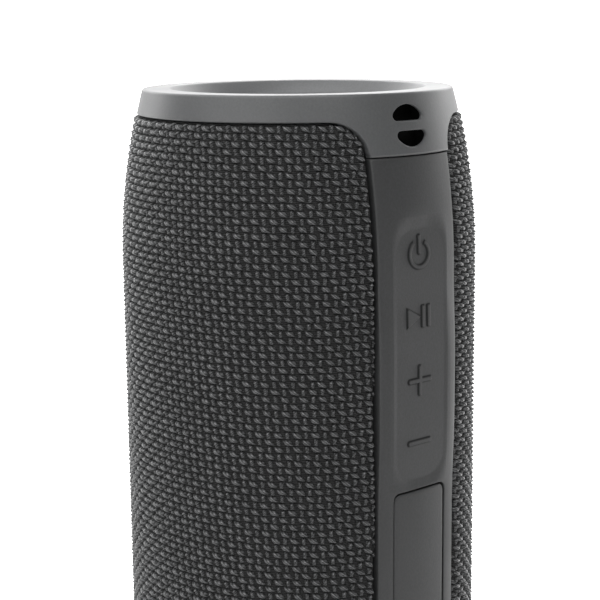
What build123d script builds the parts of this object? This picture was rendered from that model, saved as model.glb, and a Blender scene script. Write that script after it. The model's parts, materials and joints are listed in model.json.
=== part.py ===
from build123d import *
import os
from math import asin, cos, degrees, radians, sin, sqrt, tan

# A cylindrical portable speaker standing on one end. Millimetres, +Z up, origin in the
# middle of the face it stands on. The control panel faces +X and the two drivers face -Y.

# ---- Driving dimensions: the barrel -------------------------------------------------
overall_length = 190.0
barrel_radius = 37.0
end_radius = 32.2
taper_height = 36.0
crown_radius = (taper_height**2 + (barrel_radius - end_radius) ** 2) / (2 * (barrel_radius - end_radius))
middle_height = overall_length / 2
mid_plane = Plane.XY.offset(middle_height)

# ---- End rings ----------------------------------------------------------------------
ring_inset = 0.25
ring_wall = 1.8
ring_skirt = 5.2
ring_edge_radius = 0.6
well_radius = 26.4
well_wall = 1.4
well_depth = 8.0
cap_top = 11.0
ring_post_circle = 29.3
ring_post_radius = 1.5
tab_depth = 12.0
tab_half_width = 10.55
tab_flare = tab_depth - ring_skirt
strap_hole_radius = 3.95
strap_hole_depth = 6.35
strap_bar = 1.9
strap_corner = 0.7

# ---- Fabric and grille cage ---------------------------------------------------------
fabric_wall = 1.2
fabric_end_gap = 0.1
fabric_slot_half = 11.4
cage_inset = 1.3
cage_wall = 1.5
cage_end = 5.7
cage_slot_half = 11.9
cage_hole_width = 7.0
cage_hole_height = 13.0
cage_rows = 10
cage_row_pitch = 16.6
cage_columns = 17

# ---- Control panel and keys ---------------------------------------------------------
panel_inset = ring_inset
panel_thickness = 2.0
panel_back = 33.8
panel_gap = 0.15
hump_low = 111.0
hump_high = overall_length - taper_height
hump_height = 0.8
recess_depth = 0.55
recess_width = 14.2
recess_low = 113.4
recess_high = 165.5
recess_corner = 5.0
mat_back = 33.0
mat_flange_width = 15.2
mat_flange_overlap = 0.6
mat_flange_thickness = 0.5
key_width = 11.4
key_height = 11.0
key_corner = 3.0
key_clearance = 0.3
key_back = 34.6
key_pitch = 12.6
top_key_height = 159.0
key_boss_radius = 1.6
key_boss_end = 33.5
icon_relief = 0.25
icon_stroke = 0.9
power_ring_radius = 3.2
power_ring_drop = 0.7
power_gap_width = 2.8
power_bar_length = 3.8
sign_stroke = 1.1
sign_width = 6.8
sign_height = 6.4
pause_bar_height = 4.6
pause_bar_places = [1.1, 2.8]
play_left = -4.0
play_right = -0.2

# ---- Button board under the keys ----------------------------------------------------
switch_size = 5.2
switch_base = 31.3
switch_top = 32.9
switch_hole_radius = 1.3
plunger_radius = 1.0
plunger_end = 31.9
switch_floor = 0.1
switch_corner = 0.6
board_thickness = 1.0
button_board_width = 15.0
button_board_low = 114.5
button_board_high = 165.0
button_board_corner = 1.5
button_board_hole_inset = 2.0
button_board_hole_radius = 0.9

# ---- Port cover and port bay --------------------------------------------------------
cover_width = 14.1
cover_low = 49.0
cover_high = 111.0
cover_corner = 2.0
cover_back = 34.9
cover_gap = 0.35
cover_free_gap = 0.45
cover_hinge_gap = 0.3
window_corner = 1.2
hinge_bead_radius = 0.3
lip_depth = 1.6
lip_width = 1.2
lip_half_width = 5.6
lip_clearance = 0.35
tray_back = 28.8
tray_floor = 1.2
tray_flange_half = 7.9
tray_flange_thickness = 1.2
tray_wall = 1.2
tray_flange_reach = 0.6
gasket_thickness = 0.8
gasket_half_width = 6.95
gasket_corner = 2.5
cover_middle = (cover_low + cover_high) / 2
cover_length = cover_high - cover_low
lip_half_length = cover_length / 2 - (cover_width / 2 - lip_half_width)
mouth_half_width = lip_half_width + lip_clearance
mouth_half_length = lip_half_length + lip_clearance
socket_face = tray_back + tray_floor
usb_c_height = 102.0
aux_height = 91.0
card_height = 79.0
usb_a_height = 61.0
socket_clearance = 0.2
usb_shell_wall = 0.3
card_shell_wall = 0.4
tongue_setback = 0.8

# ---- Core shells and bay ------------------------------------------------------------
core_inset = 3.2
core_wall = 2.2
core_end = 13.5
bay_half_width = 10.5
bay_low = 22.0
bay_high = 170.0
bay_back = 27.0
pocket_half_width = 8.4
pocket_floor = 28.8
pocket_end_wall = 2.0
seal_inner_radius = 30.2
seal_outer_radius = 31.4
seal_thickness = 0.8
cap_hole_radius = 22.0
cap_screw_circle = 29.2
cap_post_radius = 2.2
cap_post_length = 11.0
case_screw_head_seat = 6.0
case_post_radius = 2.8
case_post_length = 21.0
case_hole_radius = 1.05
case_head_hole_radius = 2.1
case_tunnel_radius = 3.2
board_post_radius = 2.2
pilot_hole_radius = 0.85
pilot_hole_depth = 8.0
seal_screw_clearance = 1.6
board_window = (1.2, 80.0, 6.6, 55.0)
ribbon_window = (1.5, 118.2, 7.0, 1.4)
board_post_places = [(-8.0, 86.0), (-8.0, 104.0), (10.0, 86.0), (10.0, 104.0)]
case_screw_places = [(-23.5, 24.0), (23.5, 24.0), (-23.5, 166.0), (23.5, 166.0), (-23.5, 95.0)]

# ---- Screws: head radius, head height, shank radius, shank length ---------------------
case_screw_size = (1.9, 1.4, 1.0, 13.0)
board_screw_size = (1.6, 1.2, 0.8, 7.0)
driver_screw_size = (1.4, 1.0, 0.8, 6.0)
cap_screw_size = (1.4, 1.1, 0.8, 9.0)
radiator_screw_size = (1.2, 0.9, 0.8, 5.0)

# ---- Passive radiators --------------------------------------------------------------
radiator_frame_inner = 22.8
radiator_frame_outer = 27.5
radiator_plate_radius = 17.6
radiator_plate_top = 8.4
radiator_plate_thickness = 2.2
roll_level = 9.5
roll_radius = 2.4
roll_thickness = 0.6
radiator_screw_circle = 24.9
radiator_plate_chamfer = 0.5
radiator_boss_radius = 8.0
radiator_boss_length = 2.4

# ---- Drivers ------------------------------------------------------------------------
driver_heights = {"upper": 138.0, "lower": 52.0}
baffle_front = 22.0
baffle_back = 20.0
baffle_recess_radius = 24.4
baffle_hole_radius = 20.5
baffle_rim = 1.8
driver_flange_radius = 23.9
driver_flange_thickness = 2.0
driver_gasket_thickness = 0.4
basket_mouth_radius = 20.0
basket_rear_radius = 12.6
basket_rear = 13.5
basket_wall = 1.2
magnet_radius = 14.0
magnet_rear = 5.0
coil_radius = 7.0
cone_outer_radius = 17.2
cone_front = 22.9
cone_throat = 15.2
cone_wall = 0.5
cap_rise = 2.8
coil_wall = 0.4
coil_depth = 2.6
driver_screw_circle = 22.2
basket_shelf_radius = 8.5
basket_window_circle = 16.0
basket_window_width = 9.0
basket_window_height = 7.5
magnet_gap_inner = coil_radius - 0.9
magnet_gap_outer = coil_radius + 0.5
magnet_gap_depth = 5.0
surround_wall = 0.35
surround_lip = 0.5
spider_fold_count = 4
spider_thickness = 0.3
spider_fold_rise = 0.75

# ---- Battery and main board ---------------------------------------------------------
cell_radius = 9.2
cell_length = 65.1
cell_x = 9.6
cell_y = 16.0
main_board_front = -3.3
main_board_back = -1.7
main_board_low = 46.0
main_board_high = 114.0
main_board_left = -13.0
main_board_right = 26.5
board_corner = 2.0
radio_module = (12.0, 15.0, 2.2)
radio_place = (1.0, 95.0)
chip_height = 3.0
amplifier_size = 9.0
amplifier_places = [(1.0, 74.0), (1.0, 56.0)]
capacitor_radius = 2.6
capacitor_places = [(-8.0, 64.0), (-8.0, 72.0), (-8.0, 56.0)]
charger_size = 4.0
charger_places = [(12.0, 76.0), (12.0, 50.0)]
holder_width = 39.0
holder_depth = 17.6
holder_corner = 3.0
holder_end_wall = 1.6
holder_open_depth = 12.0
cell_clearance = 0.05
cell_edge_radius = 0.8
protection_board_size = (30.0, 8.0, 1.2)
ribbon_thickness = 0.3
ribbon_width = 5.0
ribbon_bend = 0.5
ribbon_foot = (22.0, 21.6)
battery_wire = 2.2
speaker_wire = 1.2


# ---- Shared outlines ----------------------------------------------------------------
def wall_radius(height, inset=0.0):
    """Radius of the barrel at a height, with its outline moved inwards by inset."""
    rise = max(taper_height - height, height - (overall_length - taper_height), 0.0)
    return barrel_radius - crown_radius + sqrt((crown_radius - inset) ** 2 - rise**2)


def outline(inset, low, high):
    """Draw the barrel's outline from low to high: a line with an arc at each tapered end."""
    turns = [height for height in (taper_height, overall_length - taper_height) if low < height < high]
    stops = [low, *turns, high]
    for start, stop in zip(stops, stops[1:]):
        middle = (start + stop) / 2
        first = (wall_radius(start, inset), start)
        last = (wall_radius(stop, inset), stop)
        if taper_height < middle < overall_length - taper_height:
            Line(first, last)
        else:
            ThreePointArc(first, (wall_radius(middle, inset), middle), last)


def shell_section(outer_inset, inner_inset, low, high):
    """Half section of a tube whose walls both follow the barrel's outline."""
    with BuildSketch(Plane.XZ) as section:
        with BuildLine():
            outline(outer_inset, low, high)
            outline(inner_inset, low, high)
            Line((wall_radius(low, outer_inset), low), (wall_radius(low, inner_inset), low))
            Line((wall_radius(high, outer_inset), high), (wall_radius(high, inner_inset), high))
        make_face()
    return section.sketch


def solid_section(inset, low, high):
    """Half section of the whole barrel inside an outline."""
    with BuildSketch(Plane.XZ) as section:
        with BuildLine():
            outline(inset, low, high)
            Polyline((wall_radius(high, inset), high), (0, high), (0, low), (wall_radius(low, inset), low))
        make_face()
    return section.sketch


def panel_section(inset):
    """Half section of the barrel out to the panel's outline, which swells around the keys."""
    low = tab_depth + panel_gap
    high = overall_length - low
    hump_root = barrel_radius - inset
    with BuildSketch(Plane.XZ) as section:
        with BuildLine():
            outline(inset, low, hump_low)
            crest = (hump_root + hump_height, (hump_low + hump_high) / 2)
            ThreePointArc((hump_root, hump_low), crest, (hump_root, hump_high))
            outline(inset, hump_high, high)
            Polyline((wall_radius(high, inset), high), (0, high), (0, low), (wall_radius(low, inset), low))
        make_face()
    return section.sketch


def panel_slot(half_width):
    """Side view of the slot for the panel, flared at both ends around the rings' tabs."""
    gap = half_width - tab_half_width
    corner_y = tab_half_width + tab_flare
    corner_z = overall_length - tab_depth
    arc_radius = tab_flare - gap
    arc_middle = (corner_y - arc_radius * cos(radians(45)), corner_z + arc_radius * sin(radians(45)))
    with BuildSketch(Plane.YZ) as slot:
        with BuildLine():
            Polyline((0, middle_height), (half_width, middle_height), (half_width, corner_z))
            ThreePointArc((half_width, corner_z), arc_middle, (corner_y, corner_z + arc_radius))
            Polyline((corner_y, corner_z + arc_radius), (corner_y, overall_length), (0, overall_length))
            Line((0, overall_length), (0, middle_height))
        make_face()
        mirror(about=Plane.YZ)
        mirror(about=Plane((0, middle_height, 0), z_dir=(0, 1, 0)))
    return slot.sketch


def rounded_block(width, length, corner, middle, plane):
    """A rounded rectangle in the side view, centred on the panel at a height."""
    with BuildSketch(plane) as outline_sketch:
        with Locations((0, middle)):
            RectangleRounded(width, length, corner)
    return outline_sketch.sketch


def save(piece, name):
    """Label a finished piece and write it to its own file."""
    piece.part.label = name
    export_step(piece.part, f"parts/{name}.step")


os.makedirs("parts", exist_ok=True)


# ---- End rings ----------------------------------------------------------------------
def ring_section():
    """Half section of the top ring: flat annulus, skirt as long as its tab, and well wall."""
    top = overall_length
    under = top - ring_wall
    skirt_end = top - tab_depth
    inner_inset = ring_inset + ring_wall
    well_outer = well_radius + well_wall
    with BuildSketch(Plane.XZ) as section:
        with BuildLine():
            outline(ring_inset, skirt_end, top)
            skirt_outside = (wall_radius(skirt_end, ring_inset), skirt_end)
            Line(skirt_outside, (wall_radius(skirt_end, inner_inset), skirt_end))
            outline(inner_inset, skirt_end, under)
            Polyline(
                (wall_radius(under, inner_inset), under),
                (well_outer, under),
                (well_outer, top - well_depth),
                (well_radius, top - well_depth),
                (well_radius, top),
                (wall_radius(top, ring_inset), top),
            )
        make_face()
        fillet(vertices().group_by(Axis.Y)[-1], radius=ring_edge_radius)
    return section.sketch


with BuildPart() as plain_ring:
    revolve(ring_section(), axis=Axis.Z)
    # The skirt is short all round, except for the tab that meets the panel.
    with BuildSketch(Plane.YZ) as beside_tab:
        with BuildLine():
            corner_y = tab_half_width + tab_flare
            corner_z = overall_length - tab_depth
            arc_middle = (corner_y - tab_flare * cos(radians(45)), corner_z + tab_flare * sin(radians(45)))
            Line((tab_half_width, corner_z - 1), (tab_half_width, corner_z))
            ThreePointArc((tab_half_width, corner_z), arc_middle, (corner_y, overall_length - ring_skirt))
            Polyline(
                (corner_y, overall_length - ring_skirt),
                (barrel_radius + 3, overall_length - ring_skirt),
                (barrel_radius + 3, corner_z - 1),
                (tab_half_width, corner_z - 1),
            )
        make_face()
        mirror(about=Plane.YZ)
    extrude(amount=barrel_radius + 3, mode=Mode.SUBTRACT)
    with BuildSketch(Plane.YZ) as behind:
        with Locations((0, overall_length - (ring_skirt + tab_depth + 1) / 2)):
            Rectangle(2 * barrel_radius + 6, tab_depth + 1 - ring_skirt)
    extrude(amount=-(barrel_radius + 3), mode=Mode.SUBTRACT)
    # The well wall stands lower than the skirt's short edge, so its lost part is put back.
    with BuildSketch(Plane.XY.offset(overall_length - well_depth)):
        Circle(well_radius + well_wall)
        Circle(well_radius, mode=Mode.SUBTRACT)
    extrude(amount=well_depth - ring_wall)
    with BuildSketch(Plane.XY.offset(overall_length - cap_top)):
        with PolarLocations(ring_post_circle, 3, start_angle=90, angular_range=180, endpoint=True):
            Circle(ring_post_radius)
    extrude(amount=cap_top - ring_wall)

with BuildPart() as top_ring:
    add(plain_ring.part)
    # Two D-shaped strap holes with a bar left between them.
    with BuildSketch(Plane.YZ.offset(well_radius + 3)):
        with Locations((0, overall_length - strap_hole_depth)):
            Circle(strap_hole_radius)
            Rectangle(3 * strap_hole_radius, strap_bar, mode=Mode.SUBTRACT)
        fillet(vertices(), radius=strap_corner)
    extrude(amount=barrel_radius, mode=Mode.SUBTRACT)
save(top_ring, "top_ring")

with BuildPart() as bottom_ring:
    mirror(plain_ring.part, about=mid_plane)
save(bottom_ring, "bottom_ring")

# ---- Fabric sleeve and the cage under it --------------------------------------------
fabric_low = ring_skirt + fabric_end_gap
with BuildPart() as fabric_sleeve:
    revolve(shell_section(0, fabric_wall, fabric_low, overall_length - fabric_low), axis=Axis.Z)
    extrude(panel_slot(fabric_slot_half), amount=barrel_radius + 3, mode=Mode.SUBTRACT)
save(fabric_sleeve, "fabric_sleeve")

with BuildPart() as grille_cage:
    cage_inner = cage_inset + cage_wall
    revolve(shell_section(cage_inset, cage_inner, cage_end, overall_length - cage_end), axis=Axis.Z)
    extrude(panel_slot(cage_slot_half), amount=barrel_radius + 3, mode=Mode.SUBTRACT)
    for row in range(cage_rows):
        row_height = middle_height + (row - (cage_rows - 1) / 2) * cage_row_pitch
        with BuildSketch(Plane.XY.offset(row_height - cage_hole_height / 2)):
            with PolarLocations(barrel_radius, cage_columns, start_angle=36, angular_range=288, endpoint=True):
                Rectangle(2 * (cage_wall + 5), cage_hole_width)
        extrude(amount=cage_hole_height, mode=Mode.SUBTRACT)
save(grille_cage, "grille_cage")

# ---- Control panel ------------------------------------------------------------------
with BuildPart() as panel_hollow:
    revolve(solid_section(panel_inset + panel_thickness, 0, overall_length), axis=Axis.Z)
    with BuildSketch(Plane.YZ):
        with Locations((0, middle_height)):
            Rectangle(2 * barrel_radius, overall_length)
    extrude(amount=panel_back, mode=Mode.INTERSECT)

window_width = cover_width + cover_hinge_gap + cover_free_gap
with BuildPart() as control_panel:
    revolve(panel_section(panel_inset), axis=Axis.Z)
    with BuildSketch(Plane.YZ.offset(panel_back - 4)):
        with Locations((0, middle_height)):
            Rectangle(2 * tab_half_width, overall_length)
    extrude(amount=barrel_radius, mode=Mode.INTERSECT)
    add(panel_hollow.part, mode=Mode.SUBTRACT)
    recess_middle = (recess_low + recess_high) / 2
    recess_length = recess_high - recess_low
    recess_plane = Plane.YZ.offset(panel_back - 4)
    extrude(
        rounded_block(recess_width, recess_length, recess_corner, recess_middle, recess_plane),
        amount=barrel_radius,
        mode=Mode.SUBTRACT,
    )
    with BuildSketch(Plane.YZ.offset(panel_back - 4)):
        with Locations(((cover_free_gap - cover_hinge_gap) / 2, cover_middle)):
            RectangleRounded(window_width, cover_length + 2 * cover_gap, window_corner)
    extrude(amount=barrel_radius, mode=Mode.SUBTRACT)
save(control_panel, "control_panel")


# ---- Keypad mat and keys ------------------------------------------------------------
def power_icon():
    """A ring open at the top, with a bar standing in the gap."""
    with BuildSketch(Plane.YZ.offset(key_back)) as icon:
        with Locations((0, -power_ring_drop)):
            Circle(power_ring_radius)
            Circle(power_ring_radius - icon_stroke, mode=Mode.SUBTRACT)
        with Locations((0, power_ring_radius - power_ring_drop)):
            Rectangle(power_gap_width, 2 * icon_stroke + 0.6, mode=Mode.SUBTRACT)
        with Locations((0, power_bar_length / 2 - 0.3)):
            RectangleRounded(icon_stroke, power_bar_length, icon_stroke / 3)
    return icon.sketch


def play_pause_icon():
    """A triangle pointing right and two bars beside it."""
    with BuildSketch(Plane.YZ.offset(key_back)) as icon:
        play_rise = pause_bar_height / 2
        Polygon((play_left, -play_rise), (play_right, 0.0), (play_left, play_rise), align=None)
        for bar_y in pause_bar_places:
            with Locations((bar_y, 0)):
                Rectangle(sign_stroke, pause_bar_height)
    return icon.sketch


def volume_icon(plus):
    """A level bar, crossed by an upright one for louder."""
    with BuildSketch(Plane.YZ.offset(key_back)) as icon:
        Rectangle(sign_width, sign_stroke)
        if plus:
            Rectangle(sign_stroke, sign_height)
    return icon.sketch


key_names = ["power", "play_pause", "volume_up", "volume_down"]
key_icons = [power_icon(), play_pause_icon(), volume_icon(True), volume_icon(False)]
key_heights = [top_key_height - key_pitch * place for place in range(len(key_names))]

with BuildPart() as recess_floor:
    revolve(panel_section(panel_inset + recess_depth), axis=Axis.Z)

with BuildPart() as icon_level:
    revolve(panel_section(panel_inset + recess_depth - icon_relief), axis=Axis.Z)

with BuildPart() as keypad_mat:
    add(recess_floor.part)
    flange_length = recess_length + 2 * mat_flange_overlap
    mat_plane = Plane.YZ.offset(mat_back)
    extrude(
        rounded_block(recess_width, recess_length, recess_corner, recess_middle, mat_plane),
        amount=barrel_radius,
        mode=Mode.INTERSECT,
    )
    extrude(
        rounded_block(mat_flange_width, flange_length, recess_corner, recess_middle, mat_plane),
        amount=mat_flange_thickness,
    )
    for key_height_up in key_heights:
        key_window = rounded_block(
            key_width + 2 * key_clearance,
            key_height + 2 * key_clearance,
            key_corner + key_clearance,
            key_height_up,
            Plane.YZ.offset(mat_back - 1),
        )
        extrude(key_window, amount=barrel_radius, mode=Mode.SUBTRACT)
save(keypad_mat, "keypad_mat")

for key_name, icon_sketch, key_height_up in zip(key_names, key_icons, key_heights):
    with BuildPart() as raised_icon:
        add(icon_level.part)
        extrude(Pos(0, 0, key_height_up) * icon_sketch, amount=barrel_radius, mode=Mode.INTERSECT)
    key_block = rounded_block(key_width, key_height, key_corner, key_height_up, Plane.YZ.offset(key_back))
    with BuildPart() as button:
        add(recess_floor.part)
        extrude(key_block, amount=barrel_radius, mode=Mode.INTERSECT)
        add(raised_icon.part)
        with BuildSketch(Plane.YZ.offset(key_boss_end)):
            with Locations((0, key_height_up)):
                Circle(key_boss_radius)
        extrude(amount=key_back - key_boss_end + 0.2)
    save(button, f"{key_name}_button")
    with BuildPart() as plunger:
        with BuildSketch(Plane.YZ.offset(plunger_end)):
            with Locations((0, key_height_up)):
                Circle(plunger_radius)
        extrude(amount=key_boss_end - plunger_end)
    save(plunger, f"{key_name}_switch_plunger")

key_places = [(0, height) for height in key_heights]
with BuildPart() as tact_switches:
    with BuildSketch(Plane.YZ.offset(switch_base)):
        with Locations(*key_places):
            RectangleRounded(switch_size, switch_size, switch_corner)
    extrude(amount=switch_top - switch_base)
    with BuildSketch(Plane.YZ.offset(switch_base + switch_floor)):
        with Locations(*key_places):
            Circle(switch_hole_radius)
    extrude(amount=switch_top, mode=Mode.SUBTRACT)
save(tact_switches, "tact_switches")

button_board_middle = (button_board_low + button_board_high) / 2
button_board_length = button_board_high - button_board_low
with BuildPart() as button_board:
    with BuildSketch(Plane.YZ.offset(switch_base - board_thickness)):
        with Locations((0, button_board_middle)):
            RectangleRounded(button_board_width, button_board_length, button_board_corner)
            hole_spacing_y = button_board_width - 2 * button_board_hole_inset
            hole_spacing_z = button_board_length - 2 * button_board_hole_inset
            with GridLocations(hole_spacing_y, hole_spacing_z, 2, 2):
                Circle(button_board_hole_radius, mode=Mode.SUBTRACT)
    extrude(amount=board_thickness)
save(button_board, "button_board")

# ---- Port cover, gasket and tray ----------------------------------------------------
cover_half = cover_width / 2
hinge_y = -(cover_half - hinge_bead_radius)
hinge_x = sqrt((barrel_radius - panel_inset) ** 2 - cover_half**2) - hinge_bead_radius
with BuildPart() as port_cover:
    revolve(solid_section(panel_inset, cover_low, cover_high), axis=Axis.Z)
    cover_block = rounded_block(
        cover_width, cover_length, cover_corner, cover_middle, Plane.YZ.offset(cover_back)
    )
    extrude(cover_block, amount=barrel_radius, mode=Mode.INTERSECT)
    # Sealing lip that plugs into the mouth of the tray.
    with BuildSketch(Plane.YZ.offset(cover_back - lip_depth)):
        with Locations((0, cover_middle)):
            RectangleRounded(2 * lip_half_width, 2 * lip_half_length, cover_corner)
            lip_inside = 2 * (lip_half_width - lip_width)
            RectangleRounded(
                lip_inside, 2 * (lip_half_length - lip_width), cover_corner / 2, mode=Mode.SUBTRACT
            )
    extrude(amount=lip_depth)
    # The outer edge on the hinge side is rounded about the hinge line.
    with BuildSketch(Plane.XY.offset(cover_low + cover_corner)):
        with Locations((hinge_x + 1, hinge_y - 1)):
            Rectangle(2, 2)
        with Locations((hinge_x, hinge_y)):
            Circle(hinge_bead_radius, mode=Mode.SUBTRACT)
    extrude(amount=cover_length - 2 * cover_corner, mode=Mode.SUBTRACT)
save(port_cover, "port_cover")

with BuildPart() as port_gasket:
    with BuildSketch(Plane.YZ.offset(panel_back)):
        with Locations((0, cover_middle)):
            gasket_half_length = mouth_half_length + gasket_half_width - mouth_half_width
            RectangleRounded(2 * gasket_half_width, 2 * gasket_half_length, gasket_corner)
            RectangleRounded(
                2 * mouth_half_width, 2 * mouth_half_length, cover_corner, mode=Mode.SUBTRACT
            )
    extrude(amount=gasket_thickness)
save(port_gasket, "port_gasket")

# Height up the barrel, width along Y, length along Z and depth behind the tray of each socket.
socket_sizes = {
    "usb_c_socket": (usb_c_height, 3.2, 8.9, 7.3),
    "memory_card_slot": (card_height, 1.6, 12.4, 14.5),
    "usb_a_socket": (usb_a_height, 5.8, 13.2, 14.0),
}
aux_body = 5.4
aux_length = 14.0
aux_y = main_board_back + aux_body / 2
with BuildPart() as port_tray:
    tray_outer_half = mouth_half_width + tray_wall
    tray_outer_half_length = mouth_half_length + tray_wall
    extrude(
        rounded_block(
            2 * tray_outer_half,
            2 * tray_outer_half_length,
            cover_corner + tray_wall,
            cover_middle,
            Plane.YZ.offset(tray_back),
        ),
        amount=panel_back - tray_back,
    )
    extrude(
        rounded_block(
            2 * tray_flange_half,
            2 * (tray_outer_half_length + tray_flange_reach),
            cover_corner + tray_wall,
            cover_middle,
            Plane.YZ.offset(panel_back - tray_flange_thickness),
        ),
        amount=tray_flange_thickness,
    )
    extrude(
        rounded_block(
            2 * mouth_half_width,
            2 * mouth_half_length,
            cover_corner,
            cover_middle,
            Plane.YZ.offset(socket_face),
        ),
        amount=barrel_radius,
        mode=Mode.SUBTRACT,
    )
    with BuildSketch(Plane.YZ.offset(tray_back - 1)):
        for socket_height, socket_y, socket_z, socket_depth in socket_sizes.values():
            with Locations((main_board_back + socket_y / 2, socket_height)):
                Rectangle(socket_y + socket_clearance, socket_z + socket_clearance)
        with Locations((aux_y, aux_height)):
            Rectangle(aux_body + socket_clearance, aux_body + socket_clearance)
    extrude(amount=tray_floor + 2, mode=Mode.SUBTRACT)
save(port_tray, "port_tray")

# ---- Sockets ------------------------------------------------------------------------
with BuildPart() as usb_c_socket:
    socket_height, socket_y, socket_z, socket_depth = socket_sizes["usb_c_socket"]
    with BuildSketch(Plane.YZ.offset(socket_face)):
        with Locations((main_board_back + socket_y / 2, socket_height)):
            shell_corner = socket_y / 2 - 0.05
            RectangleRounded(socket_y, socket_z, shell_corner)
            RectangleRounded(
                socket_y - 2 * usb_shell_wall,
                socket_z - 2 * usb_shell_wall,
                shell_corner - usb_shell_wall,
                mode=Mode.SUBTRACT,
            )
    extrude(amount=-socket_depth)
    with BuildSketch(Plane.YZ.offset(socket_face - socket_depth)):
        with Locations((main_board_back + socket_y / 2, socket_height)):
            RectangleRounded(socket_y, socket_z, shell_corner)
    extrude(amount=tongue_setback)
    with BuildSketch(Plane.YZ.offset(socket_face - socket_depth + tongue_setback)):
        with Locations((main_board_back + socket_y / 2, socket_height)):
            Rectangle(0.7, socket_z - 2.3)
    extrude(amount=socket_depth - 2 * tongue_setback)
save(usb_c_socket, "usb_c_socket")

with BuildPart() as aux_jack:
    with BuildSketch(Plane.YZ.offset(socket_face)):
        with Locations((aux_y, aux_height)):
            RectangleRounded(aux_body, aux_body, 0.5)
    extrude(amount=-aux_length)
    with BuildSketch(Plane.YZ.offset(socket_face)):
        with Locations((aux_y, aux_height)):
            Circle(1.8)
    extrude(amount=-(aux_length - 1), mode=Mode.SUBTRACT)
save(aux_jack, "aux_jack")

with BuildPart() as memory_card_slot:
    socket_height, socket_y, socket_z, socket_depth = socket_sizes["memory_card_slot"]
    with BuildSketch(Plane.YZ.offset(socket_face)):
        with Locations((main_board_back + socket_y / 2, socket_height)):
            Rectangle(socket_y, socket_z)
    extrude(amount=-socket_depth)
    with BuildSketch(Plane.YZ.offset(socket_face)):
        with Locations((main_board_back + socket_y / 2 + 0.1, socket_height)):
            Rectangle(socket_y - 2 * card_shell_wall, socket_z - 1.0)
    extrude(amount=-(socket_depth - 1), mode=Mode.SUBTRACT)
save(memory_card_slot, "memory_card_slot")

with BuildPart() as usb_a_socket:
    socket_height, socket_y, socket_z, socket_depth = socket_sizes["usb_a_socket"]
    with BuildSketch(Plane.YZ.offset(socket_face)):
        with Locations((main_board_back + socket_y / 2, socket_height)):
            Rectangle(socket_y, socket_z)
    extrude(amount=-socket_depth)
    with BuildSketch(Plane.YZ.offset(socket_face)):
        with Locations((main_board_back + socket_y / 2, socket_height)):
            Rectangle(socket_y - 2 * card_shell_wall, socket_z - 2 * card_shell_wall)
    extrude(amount=-(socket_depth - 1.2), mode=Mode.SUBTRACT)
    with BuildSketch(Plane.YZ.offset(socket_face - socket_depth + 1.0)):
        with Locations((main_board_back + socket_y / 2 - 1.0, socket_height)):
            Rectangle(1.8, socket_z - 2.2)
    extrude(amount=socket_depth - 1.8)
save(usb_a_socket, "usb_a_socket")

# ---- Core shells --------------------------------------------------------------------
pocket_low = bay_low + pocket_end_wall
pocket_high = bay_high - pocket_end_wall
pocket_middle = (pocket_low + pocket_high) / 2
driver_places = [(0, height) for height in driver_heights.values()]

with BuildPart() as bay_block:
    revolve(solid_section(panel_inset + panel_thickness, bay_low, bay_high), axis=Axis.Z)
    with BuildSketch(Plane.YZ.offset(bay_back)):
        with Locations((0, middle_height)):
            Rectangle(2 * bay_half_width, overall_length)
    extrude(amount=panel_back - bay_back, mode=Mode.INTERSECT)

with BuildPart() as baffles:
    revolve(solid_section(core_inset, core_end, overall_length - core_end), axis=Axis.Z)
    with BuildSketch(Plane.XZ.offset(baffle_back)):
        with Locations(*driver_places):
            Circle(baffle_recess_radius + baffle_rim)
        with Locations(*board_post_places):
            Circle(board_post_radius)
    extrude(amount=barrel_radius, mode=Mode.INTERSECT)

with BuildPart() as rear_tunnels:
    revolve(solid_section(core_inset, core_end, overall_length - core_end), axis=Axis.Z)
    with BuildSketch(Plane.XZ):
        with Locations(*case_screw_places):
            Circle(case_tunnel_radius)
    extrude(amount=-barrel_radius, mode=Mode.INTERSECT)

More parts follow.
